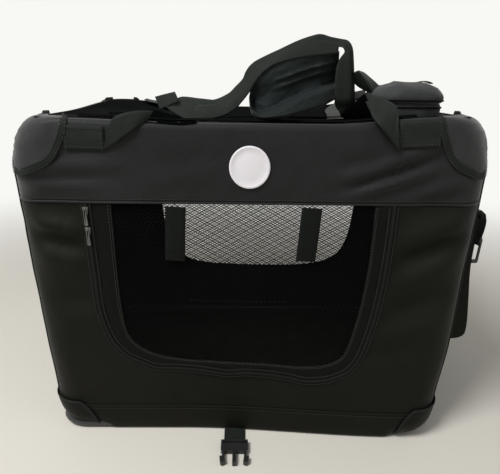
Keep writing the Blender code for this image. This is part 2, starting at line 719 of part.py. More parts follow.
def front_door_group():
    """Net door in a fabric border, hung from the seam under the front band."""
    pivot = (0.0, PANEL_MIDDLE_Y, DOOR_TOP)
    y_low, y_high = FRONT_FACE, FRONT_FACE + FABRIC
    half, radius = DOOR_HALF_WIDTH - DOOR_GAP, DOOR_RADIUS - DOOR_GAP
    outer = u_outline(half, DOOR_SILL + DOOR_GAP, DOOR_TOP, radius, DOOR_X)
    border = plate("door_border", outer, y_low, y_high, oxford(), "Y", pivot)
    mesh_x = DOOR_X + (DOOR_BORDER_LEFT - DOOR_BORDER_RIGHT) / 2
    mesh_half = DOOR_HALF_WIDTH - (DOOR_BORDER_LEFT + DOOR_BORDER_RIGHT) / 2
    mesh_low = DOOR_SILL + DOOR_BORDER_LOW
    mesh_high = DOOR_TOP - DOOR_BORDER_TOP
    mesh_radius = DOOR_RADIUS - DOOR_BORDER_LOW
    hole = u_outline(mesh_half, mesh_low, mesh_high, mesh_radius, mesh_x)
    cut(border, cutter_from(prism(hole, y_low - OVERRUN, y_high + OVERRUN, "Y"), "door_mesh_opening"))
    near, far = PANEL_MIDDLE_Y - NET / 2, PANEL_MIDDLE_Y + NET / 2
    half, low, high = mesh_half - GAP, mesh_low + GAP, mesh_high - GAP
    net("door_net", mesh_x, half, low, high, mesh_radius - GAP, near, far, pivot)
    zip_low = FRONT_FACE - GAP - ZIP_DEPTH
    half_zip = ZIP_WIDTH / 2
    half, radius = DOOR_HALF_WIDTH + half_zip, DOOR_RADIUS + half_zip
    chain_outer = u_outline(half, DOOR_SILL - half_zip, CHAIN_TOP, radius, DOOR_X)
    chain = plate("door_zip_chain", chain_outer, zip_low, FRONT_FACE - GAP, plastic(), "Y", pivot)
    half, radius = DOOR_HALF_WIDTH - half_zip, DOOR_RADIUS - half_zip
    hole = u_outline(half, DOOR_SILL + half_zip, DOOR_TOP + OVERRUN, radius, DOOR_X)
    cut(chain, cutter_from(prism(hole, zip_low - OVERRUN, FRONT_FACE + OVERRUN, "Y"), "chain_inside"))


def zip_slider(name, height):
    """Slider body that straddles the chain, with its puller hung in front."""
    x = DOOR_X - DOOR_HALF_WIDTH
    front = FRONT_FACE - GAP - ZIP_DEPTH - GAP
    low, high = height - SLIDER_LENGTH / 2, height + SLIDER_LENGTH / 2
    narrow = SLIDER_WIDTH / 3
    half = SLIDER_WIDTH / 2
    outline = [(x - narrow, low), (x + narrow, low), (x + half, high - narrow), (x + narrow, high)]
    outline += [(x - narrow, high), (x - half, high - narrow)]
    body = plate(name, outline, front - SLIDER_DEPTH, front, zinc(), "Y", (x, front, height))
    bevel(body, SLIDER_DEPTH / 5, 2)
    pin_y = front - SLIDER_DEPTH - GAP - PULLER / 2
    puller_top = height + SLIDER_LENGTH / 4
    half_puller = PULLER_WIDTH / 2
    centre = puller_top - half_puller
    tip = puller_top - PULLER_LENGTH + half_puller
    shape = arc((x, centre), half_puller, 0, 180, 8) + arc((x, tip), half_puller, 180, 360, 8)
    near, far = pin_y - PULLER / 2, pin_y + PULLER / 2
    puller = plate(name + "_puller", shape, near, far, zinc(), "Y", (x, pin_y, centre))
    start, end = (x, pin_y - OVERRUN, centre), (x, pin_y + OVERRUN, centre)
    cut(puller, cutter_from(rod(start, end, PULLER_HOLE_RADIUS, 12), name + "_puller_eye"))


def tie_strap(name, x):
    y_high = FRONT_FACE - GAP
    top = CHAIN_TOP
    outline = [(x - TIE_WIDTH / 2, top - TIE_LENGTH), (x + TIE_WIDTH / 2, top - TIE_LENGTH)]
    outline += [(x + TIE_WIDTH / 2, top), (x - TIE_WIDTH / 2, top)]
    plate(name, outline, y_high - TIE, y_high, webbing_black(), "Y", (x, y_high, top))


def rear_window():
    """Net sewn behind the rear window opening."""
    y_high = HALF_WIDTH - GAP
    half, low, high = WINDOW_HALF_WIDTH - GAP, WINDOW_SILL + GAP, SEAM_HEIGHT - GAP
    net("rear_window_net", WINDOW_X, half, low, high, WINDOW_RADIUS - GAP, y_high - NET, y_high)


def badge():
    y_high = FRONT_FACE - GAP
    outline = arc((BADGE_X, BADGE_HEIGHT), BADGE_RADIUS, 0, 350, 35)
    disc = plate("badge", outline, y_high - BADGE, y_high, badge_white(), "Y")
    bevel(disc, BADGE / 3, 2)


def top_corner_patch(name, sign_x, sign_y):
    """Quarter-round patch that wraps one upper corner of the cover."""
    outward = GAP + PATCH
    rows = []
    for height in wall_heights(HEIGHT - TOP_PATCH_RADIUS - OVERRUN, HEIGHT, outward):
        half_x = shoulder_half_length(height, outward)
        half_y = crest_half_width(height, outward)
        radius = CORNER_RADIUS + outward
        x, y = half_x - radius, half_y - radius
        reach = TOP_PATCH_RADIUS - CORNER_RADIUS + OVERRUN
        row = [(half_x, y - reach)] + arc((x, y), radius, 0, 90, 8) + [(x - reach, half_y)]
        rows.append([(sign_x * px, sign_y * py, height) for px, py in row])
    if sign_x * sign_y < 0:
        rows = [row[::-1] for row in rows]
    bm = sheet(rows)
    mesh = bpy.data.meshes.new(name)
    bm.to_mesh(mesh)
    bm.free()
    mesh.materials.append(oxford())
    mesh.shade_smooth()
    made = bpy.data.objects.new(name, mesh)
    CRATE.objects.link(made)
    thicken(made, PATCH)
    ball = bmesh.new()
    bmesh.ops.create_uvsphere(ball, u_segments=32, v_segments=16, radius=TOP_PATCH_RADIUS)
    middle = (sign_x * (HALF_LENGTH - TOP_PATCH_INSET), sign_y * HALF_WIDTH, HEIGHT + TOP_PATCH_RAISE)
    bmesh.ops.translate(ball, verts=ball.verts, vec=middle)
    combine(made, cutter_from(ball, name + "_round"), "INTERSECT")


def strap_tab(name, sign_x, sign_y):
    """Webbing sewn along the top of a long wall, beside the corner patch."""
    near = sign_y * (HALF_WIDTH + GAP)
    far = sign_y * (HALF_WIDTH + GAP + WEBBING)
    top = HEIGHT - CREST_RADIUS
    outline = [(sign_x * TAB_INNER_X, top - TAB_HEIGHT), (sign_x * TAB_OUTER_X, top - TAB_HEIGHT)]
    outline += [(sign_x * TAB_OUTER_X, top), (sign_x * TAB_INNER_X, top)]
    plate(name, outline, min(near, far), max(near, far), webbing_black(), "Y")


def roof_strap(name, edge_x, foot_x, sign_y):
    """Webbing that lies on the roof from the crest to the foot of the handle."""
    half = WEBBING_WIDTH / 2
    edge_y = sign_y * (HALF_WIDTH - CREST_RADIUS)
    foot_y = HANDLE_Y + sign_y * (STRAP_PAIR_GAP / 2 + WEBBING + 2 * GAP)
    outline = [(edge_x - half, edge_y), (edge_x + half, edge_y)]
    outline += [(foot_x + half, foot_y), (foot_x - half, foot_y)]
    low = ROOF_TOP + GAP
    plate(name, outline, low, low + WEBBING, webbing_black())


def handle_arch():
    """Middle line of the handle straps in X and Z, from the left foot to the right foot."""
    span_shares = (0.0, 0.19, 0.35, 0.49, 0.63, 0.79, 0.90, 0.97, 1.0, 1.0)
    rise_shares = (0.0, 0.15, 0.42, 0.74, 0.88, 1.0, 0.93, 0.74, 0.42, 0.0)
    span = RIGHT_FOOT_X - LEFT_FOOT_X
    spots = zip(span_shares, rise_shares)
    return [(LEFT_FOOT_X + span * s, HANDLE_PIVOT_HEIGHT + HANDLE_RISE * r) for s, r in spots]


def band_edges(line, width):
    """Upper and lower edges of a flat band of a width along a plane line."""
    upper, lower = [], []
    for k, (x, z) in enumerate(line):
        before, after = line[max(k - 1, 0)], line[min(k + 1, len(line) - 1)]
        along = Vector((after[0] - before[0], after[1] - before[1])).normalized()
        across = Vector((-along.y, along.x)) * (width / 2)
        upper.append((x + across.x, max(z + across.y, HANDLE_PIVOT_HEIGHT)))
        lower.append((x - across.x, max(z - across.y, HANDLE_PIVOT_HEIGHT)))
    return upper, lower


def handle_group():
    """Two webbing arches that stand together, gripped by a folded fabric wrap."""
    pivot = (0.0, HANDLE_Y, HANDLE_PIVOT_HEIGHT)
    arch = handle_arch()
    upper, lower = band_edges(arch, WEBBING_WIDTH)
    for name, side in (("handle_strap_front", -1), ("handle_strap_rear", 1)):
        near = HANDLE_Y + side * STRAP_PAIR_GAP / 2
        far = near + side * WEBBING
        plate(name, upper + lower[::-1], min(near, far), max(near, far), webbing_black(), "Y", pivot)
    low = HANDLE_PIVOT_HEIGHT + WRAP_LIFT
    outer = band_edges(arch, WEBBING_WIDTH + 2 * (GAP + WRAP))[0]
    right, left = outer[6][0], outer[2][0]
    x_shares = (0.98, 0.80, 0.54, 0.29, 0.15, 0.06)
    z_shares = (0.16, 0.085, 0.01, 0.0, 0.03, 0.22)
    drape = [(left + (right - left) * a, low + HANDLE_RISE * b) for a, b in zip(x_shares, z_shares)]
    half = STRAP_PAIR_GAP / 2 + WEBBING + GAP + WRAP
    wrap = plate("handle_wrap", outer[2:7] + drape, HANDLE_Y - half, HANDLE_Y + half, oxford(), "Y", pivot)
    inner = band_edges(arch, WEBBING_WIDTH + 2 * GAP)[0][1:]
    below = HANDLE_PIVOT_HEIGHT - OVERRUN
    slot = inner + [(inner[-1][0], below), (inner[0][0], below)]
    inside = half - WRAP
    cut(wrap, cutter_from(prism(slot, HANDLE_Y - inside, HANDLE_Y + inside, "Y"), "wrap_inside"))


def round_top(bm, height, width, segments=3):
    """Rounds the edges of a closed shape that lie at a height."""
    edges = [e for e in bm.edges if all(abs(v.co.z - height) < WELD for v in e.verts)]
    bmesh.ops.bevel(bm, geom=edges, offset=width, segments=segments, profile=ROUND_PROFILE,
                     affect="EDGES")
    return bm


def roof_pouch_group():
    """Zipped pouch on the roof: a soft box with a hinged lid and a pull tab."""
    half_x, half_y = (POUCH_RIGHT_X - POUCH_LEFT_X) / 2, (POUCH_REAR_Y - POUCH_FRONT_Y) / 2
    centre = ((POUCH_RIGHT_X + POUCH_LEFT_X) / 2, (POUCH_REAR_Y + POUCH_FRONT_Y) / 2)
    outer = [(x + centre[0], y + centre[1]) for x, y in rounded_rectangle(half_x, half_y, POUCH_RADIUS)]
    inner = rounded_rectangle(half_x - POUCH_WALL, half_y - POUCH_WALL, POUCH_RADIUS - POUCH_WALL)
    inner = [(x + centre[0], y + centre[1]) for x, y in inner]
    low = ROOF_TOP + GAP
    high = low + POUCH_BODY_HEIGHT
    body = plate("pouch_body", outer, low, high, oxford())
    cut(body, cutter_from(prism(inner, low + POUCH_WALL, high + OVERRUN), "pouch_hollow"))
    lid_low = high + GAP
    pivot = (centre[0], POUCH_REAR_Y, lid_low)
    lid_high = lid_low + POUCH_LID_HEIGHT
    shape = round_top(prism(outer, lid_low, lid_high), lid_high, POUCH_LID_ROUND)
    lid = put("pouch_lid", shape, oxford(), pivot)
    cut(lid, cutter_from(prism(inner, lid_low - OVERRUN, lid_low + POUCH_LID_HEIGHT / 3), "lid_hollow"))
    tab_low = lid_high - WEBBING / 2
    half_tab = POUCH_TAB_WIDTH / 2
    tab = block((centre[0] - half_tab, centre[1], tab_low),
                (centre[0] + half_tab, centre[1] + POUCH_TAB_LENGTH, tab_low + WEBBING))
    combine(lid, cutter_from(tab, "lid_pull_tab"), "UNION")


def side_pocket_group():
    """Open-topped pocket on the right wall, its flap, and the ladder buckle that hangs there."""
    near = RIGHT_FACE + GAP
    far = near + POCKET_DEPTH
    outline = u_outline(POCKET_HALF_WIDTH, POCKET_SILL, POCKET_TOP, POCKET_RADIUS)
    pocket = plate("side_pocket", outline, near, far, oxford(), "X")
    half_inner, radius = POCKET_HALF_WIDTH - FABRIC, POCKET_RADIUS - FABRIC
    inner = u_outline(half_inner, POCKET_SILL + FABRIC, POCKET_TOP + OVERRUN, radius)
    cut(pocket, cutter_from(prism(inner, near + FABRIC, far - FABRIC, "X"), "pocket_hollow"))
    flap_low = POCKET_TOP + GAP
    front_x = far + GAP + FABRIC
    half = POCKET_HALF_WIDTH + FLAP_OVERHANG
    section = [(near, flap_low), (near, flap_low + FABRIC), (front_x - FABRIC, flap_low + FABRIC)]
    hem = POCKET_TOP - FLAP_DROP
    section += [(front_x, flap_low), (front_x, hem), (front_x - FABRIC, hem), (front_x - FABRIC, flap_low)]
    pivot = (near, 0.0, flap_low + FABRIC)
    plate("pocket_flap", section, -half, half, oxford(), "Y", pivot)
    ladder_y = -POCKET_HALF_WIDTH + LADDER_INSET_Y
    half_depth = LADDER_DEPTH / 2
    near_x = front_x + GAP
    middle_x = near_x + LADDER_WIDTH / 2
    high = POCKET_TOP - LADDER_DROP
    tab_y = ladder_y + half_depth + GAP
    hanger = block((near_x, tab_y, high - 2 * LADDER_RIM),
                   (near_x + LADDER_WIDTH, tab_y + WEBBING, high + HANGER_RISE))
    put("ladder_hanger", hanger, webbing_black(), pivot)
    middle_z = high - LADDER_HEIGHT / 2
    bar = rounded_rectangle(LADDER_WIDTH / 2, LADDER_HEIGHT / 2, LADDER_RIM, 3)
    outer = [(x + middle_x, z + middle_z) for x, z in bar]
    pivot = (middle_x, ladder_y, high - LADDER_RIM)
    near_y, far_y = ladder_y - half_depth, ladder_y + half_depth
    buckle = plate("ladder_buckle", outer, near_y, far_y, plastic(), "Y", pivot)
    half_x, half_z = LADDER_WIDTH / 2 - LADDER_RIM, LADDER_HEIGHT / 2 - 2 * LADDER_RIM
    window = rounded_rectangle(half_x, half_z, LADDER_RIM / 2, 3)
    window = [(x + middle_x, z + middle_z) for x, z in window]
    opening = prism(window, ladder_y - LADDER_DEPTH - OVERRUN, ladder_y + LADDER_DEPTH + OVERRUN, "Y")
    cut(buckle, cutter_from(opening, "ladder_window"))


def male_buckle_outline(x, edge_y):
    """Outline of the two-pronged clip seen from above; it points to -Y from edge_y."""
    half, body, prong = BUCKLE_WIDTH / 2, BUCKLE_BODY_LENGTH, PRONG_LENGTH
    inner = half - PRONG_WIDTH
    guide = GUIDE_WIDTH / 2
    right = [(half, 0.0), (half, body), (half - BARB, body + prong / 4), (half - BARB, body + prong / 2)]
    right += [(half + BARB / 2, body + prong / 2), (half, body + prong - BARB), (half - BARB, body + prong)]
    right += [(inner - BARB / 2, body + prong - BARB), (inner, body + prong / 2), (inner, body + BARB)]
    right += [(guide, body + BARB), (guide, body + prong)]
    mirrored = [(-a, b) for a, b in reversed(right)]
    return [(x + a, edge_y - b) for a, b in right + mirrored]


def closing_strap_front():
    """Short webbing from under the front edge, with the male half of a side-release buckle."""
    start = FRONT_FACE - 2 * GAP
    pivot = (CLOSURE_X, start - WEBBING / 2, WEBBING / 2)
    half = WEBBING_WIDTH / 2
    strap_end = start - CLOSURE_STRAP_LENGTH
    strap = block((CLOSURE_X - half, strap_end, 0.0), (CLOSURE_X + half, start, WEBBING))
    put("closing_strap", strap, webbing_black(), pivot)
    outline = male_buckle_outline(CLOSURE_X, strap_end - GAP)
    buckle = plate("buckle_prongs", outline, 0.0, BUCKLE_DEPTH, plastic(), "Z", pivot)
    slot_far = strap_end - GAP - BUCKLE_BAR
    slot = block((CLOSURE_X - BUCKLE_SLOT_WIDTH / 2, slot_far - BUCKLE_SLOT_LENGTH, -OVERRUN),
                 (CLOSURE_X + BUCKLE_SLOT_WIDTH / 2, slot_far, BUCKLE_DEPTH + OVERRUN))
    cut(buckle, cutter_from(slot, "prongs_slot"))


def closing_strap_rear():
    """The mate at the back: webbing and the socket half of the buckle."""
    start = HALF_WIDTH + 2 * GAP
    pivot = (CLOSURE_X, start + WEBBING / 2, WEBBING / 2)
    half = WEBBING_WIDTH / 2
    strap_end = start + CLOSURE_STRAP_LENGTH
    strap = block((CLOSURE_X - half, start, 0.0), (CLOSURE_X + half, strap_end, WEBBING))
    put("rear_closing_strap", strap, webbing_black(), pivot)
    near = strap_end + GAP
    outline = [(x + CLOSURE_X, y + near + SOCKET_LENGTH / 2) for x, y in
               rounded_rectangle(BUCKLE_WIDTH / 2 + SOCKET_WALL, SOCKET_LENGTH / 2, SOCKET_WALL * 2, 3)]
    socket = plate("buckle_socket", outline, 0.0, BUCKLE_DEPTH + 2 * SOCKET_WALL, plastic(), "Z", pivot)
    slot_start = near + BUCKLE_BAR
    slot_end = slot_start + BUCKLE_SLOT_LENGTH
    slot = block((CLOSURE_X - BUCKLE_SLOT_WIDTH / 2, slot_start, -OVERRUN),
                 (CLOSURE_X + BUCKLE_SLOT_WIDTH / 2, slot_end, BUCKLE_DEPTH + OVERRUN))
    cut(socket, cutter_from(slot, "socket_slot"))
    mouth_start = near + BUCKLE_BAR * 2 + BUCKLE_SLOT_LENGTH
    inside = BUCKLE_WIDTH / 2 - BUCKLE_CLEARANCE
    mouth = block((CLOSURE_X - inside, mouth_start, SOCKET_WALL),
                  (CLOSURE_X + inside, near + SOCKET_LENGTH + OVERRUN, SOCKET_WALL + BUCKLE_DEPTH))
    cut(socket, cutter_from(mouth, "socket_mouth"))
    window_low = mouth_start + BUCKLE_BAR
    window_high = window_low + SOCKET_WINDOW_LENGTH
    side_cut = block((CLOSURE_X - BUCKLE_WIDTH, window_low, SOCKET_WALL),
                     (CLOSURE_X + BUCKLE_WIDTH, window_high, SOCKET_WALL + BUCKLE_DEPTH))
    cut(socket, cutter_from(side_cut, "socket_windows"))


def trim_group():
    badge()
    corners = (("front_left", -1, -1), ("front_right", 1, -1), ("rear_left", -1, 1), ("rear_right", 1, 1))
    for name, sign_x, sign_y in corners:
        top_corner_patch("top_patch_" + name, sign_x, sign_y)
        strap_tab("strap_tab_" + name, sign_x, sign_y)
    roof_strap("roof_strap_front_left", ROOF_STRAP_LEFT_X, LEFT_FOOT_X, -1)
    roof_strap("roof_strap_rear_left", ROOF_STRAP_LEFT_X, LEFT_FOOT_X, 1)
    roof_strap("roof_strap_front_right", ROOF_STRAP_RIGHT_X, RIGHT_FOOT_X, -1)
    roof_strap("roof_strap_rear_right", ROOF_STRAP_RIGHT_X, RIGHT_FOOT_X, 1)


def main():
    clear_scene()
    base_tray()
    frame_group()
    cover_group()
    front_door_group()
    upper = DOOR_TOP - SLIDER_TOP_CLEARANCE - SLIDER_LENGTH / 2
    zip_slider("zip_slider_upper", upper)
    zip_slider("zip_slider_lower", upper - SLIDER_PITCH)
    tie_strap("tie_strap_left", TIE_LEFT_X)
    tie_strap("tie_strap_right", TIE_RIGHT_X)
    rear_window()
    trim_group()
    handle_group()
    roof_pouch_group()
    side_pocket_group()
    closing_strap_front()
    closing_strap_rear()


main()
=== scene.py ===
"""Looks of a soft folding dog crate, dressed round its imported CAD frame.

Cloth, webbing, net, zip and bindings are modelled here as their own pieces. The tubes, clips
and buckles are the CAD's own, with better finishes. Metres, +Z up, the doorway faces -Y.
"""

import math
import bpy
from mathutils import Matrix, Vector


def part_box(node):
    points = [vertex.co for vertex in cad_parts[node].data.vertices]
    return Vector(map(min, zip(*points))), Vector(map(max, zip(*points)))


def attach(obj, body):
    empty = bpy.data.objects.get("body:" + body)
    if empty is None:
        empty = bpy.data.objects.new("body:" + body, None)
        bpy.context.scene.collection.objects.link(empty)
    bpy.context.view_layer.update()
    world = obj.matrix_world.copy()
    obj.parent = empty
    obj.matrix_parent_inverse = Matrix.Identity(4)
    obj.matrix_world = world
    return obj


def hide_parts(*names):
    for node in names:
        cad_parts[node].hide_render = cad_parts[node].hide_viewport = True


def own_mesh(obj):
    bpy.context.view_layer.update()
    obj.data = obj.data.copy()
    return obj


bl_info = {
    "name": "Soft Folding Dog Crate Looks",
    "version": (1, 0, 0),
    "blender": (4, 5, 0),
    "location": "3D Viewport > Sidebar > Crate",
    "description": "Cloth, webbing, net and trim of a folding dog crate over its CAD frame",
    "category": "Object",
}

import bmesh
import bpy
from bpy.props import FloatProperty, FloatVectorProperty, PointerProperty
from mathutils.bvhtree import BVHTree
from mathutils import Matrix, Vector, noise

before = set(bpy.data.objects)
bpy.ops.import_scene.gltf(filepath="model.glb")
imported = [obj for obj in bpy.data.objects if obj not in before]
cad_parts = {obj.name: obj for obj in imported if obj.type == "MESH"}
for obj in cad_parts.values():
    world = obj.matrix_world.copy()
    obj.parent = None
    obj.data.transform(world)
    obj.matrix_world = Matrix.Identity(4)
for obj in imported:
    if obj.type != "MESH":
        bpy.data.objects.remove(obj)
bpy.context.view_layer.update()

# Places taken from the frame
HALF_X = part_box("right_panel")[1].x
HALF_Y = -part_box("front_panel")[0].y
SKIRT_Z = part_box("base_tray")[1].z
SEAM_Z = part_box("front_band")[0].z
ROOF_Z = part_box("roof_panel")[1].z
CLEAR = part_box("front_panel")[0].z - SKIRT_Z
FOLD_Z = SKIRT_Z + CLEAR


def tenths(rows):
    """Rows given in tenths of a millimetre, in metres."""
    return [tuple(value / 10000 for value in row) for row in rows]


# Shape of the cover in plan and at its shoulders
CORNER = 0.050
SHOULDER_DROP = 0.055
SHOULDER_INSET = 0.044
CREST = 0.009
CORNER_STEPS = 12
LONG_STEPS = 150
SHORT_STEPS = 108
LOOP = 4 * CORNER_STEPS + 2 * (LONG_STEPS + SHORT_STEPS)
SEAM_STEP = 3
FRONT_RUN = (SEAM_STEP, 2 * CORNER_STEPS + LONG_STEPS - SEAM_STEP)
RIGHT_RUN = (FRONT_RUN[1], 2 * CORNER_STEPS + LONG_STEPS + SHORT_STEPS + SEAM_STEP)
REAR_RUN = (RIGHT_RUN[1], LOOP - SHORT_STEPS - SEAM_STEP)
LEFT_RUN = (REAR_RUN[1], LOOP + SEAM_STEP)
ROW = 0.0042
CLOTH = 0.0012

# Zip track and net edge of the door, left top to right top, X and Z on the front wall
TRACK = tenths([(-2425, 4115), (-2425, 3600), (-2425, 3000), (-2425, 2500), (-2375, 2150), (-2270, 1830),
                (-2080, 1580), (-1810, 1430), (-1590, 1335), (-1254, 1325), (-857, 1290), (-401, 1225),
                (-56, 1250), (290, 1235), (637, 1190), (931, 1130), (1220, 1150), (1446, 1220),
                (1640, 1320), (1780, 1500), (1880, 1744), (1985, 2185), (2040, 2547), (2075, 3007),
                (2085, 3600), (2075, 4115)])
NET_EDGE = tenths([(-2050, 4115), (-2060, 3660), (-2070, 3190), (-2075, 2750), (-2060, 2280),
                   (-2010, 1970), (-1845, 1735), (-1523, 1570), (-1077, 1485), (-399, 1445), (284, 1425),
                   (857, 1395), (1270, 1440), (1530, 1590), (1640, 1880), (1729, 2306), (1790, 2778),
                   (1815, 3225), (1810, 3700), (1800, 4115)])

# Where the cover slumps: (right, left) rise of its upper corners and what they rise more at the rear,
# lean of the right foot, and how far the shoulders, the right foot and the (right, left) toes draw in
CORNER_RISE = (0.011, 0.004)
REAR_RISE = (0.006, 0.008)
FOOT_LEAN = 0.027
SHOULDER_DRAW = 0.0055
FOOT_DRAW = 0.016
TOE_DRAW = (0.006, 0.010)

# Lower corner patches: half their width in steps of the outline, how far they stand out, and the
# corners' radius and draw towards the floor
PATCH_REACH = 12
PATCH_OUT = 0.0028
FOOT_RADIUS = 0.038
FOOT_TUCK = 0.032

# Upper corner caps: radius of the ball that bounds them, how far they stand out, depth of a pucker
CAP_RADIUS = 0.080
CAP_OUT = 0.0016
CAP_PUCKER = 0.0011

# Distance of the stitched box from the edge of a sewn tab
TAB_SEAM = 0.0035

# Directions
FRONTWARDS = Vector((0, -1, 0))
BACKWARDS = Vector((0, 1, 0))
RIGHTWARDS = Vector((1, 0, 0))
UPWARDS = Vector((0, 0, 1))

# Where the photograph was taken from
EYE = (-0.017, -0.955, 0.570)

# Edge of the rear window, left top to right top, X and Z on the rear wall
WINDOW = tenths([(-2240, 4115), (-2235, 3500), (-2220, 2940), (-2160, 2250), (-1990, 1780), (-1600, 1460),
                 (-1130, 1320), (-320, 1270), (1030, 1255), (1900, 1340), (2420, 1600), (2650, 2020),
                 (2735, 2500), (2770, 2990), (2780, 3500), (2780, 4115)])

# Pull folds in the walls: X or Y and Z of the start and of the end, width, height. The rear wall
# has the first ten of the front wall's.
FRONT_FOLDS = tenths([(2600, 4880, 1350, 4500, 85, 52), (2720, 4780, 1180, 4320, 80, -50),
                      (2620, 4660, 1520, 4300, 80, 46), (1960, 4720, 1180, 4660, 110, -30),
                      (3120, 4480, 2380, 4260, 80, 34), (-3180, 4560, -1900, 4660, 100, 22),
                      (-3220, 4460, -1800, 4480, 80, -18), (-3220, 4340, -2150, 4340, 80, 18),
                      (-3250, 4230, -2450, 4210, 70, -12), (-1500, 4400, -500, 4560, 140, 18),
                      (600, 4480, 200, 4280, 120, 16), (2220, 3620, 3240, 3940, 170, 60),
                      (2260, 3220, 3260, 3660, 140, -52), (2280, 2850, 3260, 3380, 150, 56),
                      (2260, 2360, 3260, 2820, 170, -44), (2150, 1900, 3260, 2320, 180, 44),
                      (1900, 1300, 3000, 1500, 200, 34), (-3220, 3860, -2520, 3680, 150, 50),
                      (-3260, 3600, -2520, 3440, 120, -42), (-3270, 3340, -2520, 3180, 150, 48),
                      (-3260, 2760, -2400, 2500, 180, -30), (-3160, 2150, -2350, 2320, 180, 30),
                      (-2200, 1200, -3120, 880, 180, 30), (-1200, 900, 600, 760, 200, 18)])
END_FOLDS = tenths([(-2150, 4520, -700, 4700, 90, 42), (2150, 4520, 600, 4740, 90, 42),
                    (-2200, 3500, -800, 4200, 150, 38), (2200, 3300, 900, 4100, 150, 38),
                    (-2000, 900, -600, 1400, 180, 34), (2000, 1100, 500, 1500, 180, -34)])
REAR_FOLDS = FRONT_FOLDS[:10]

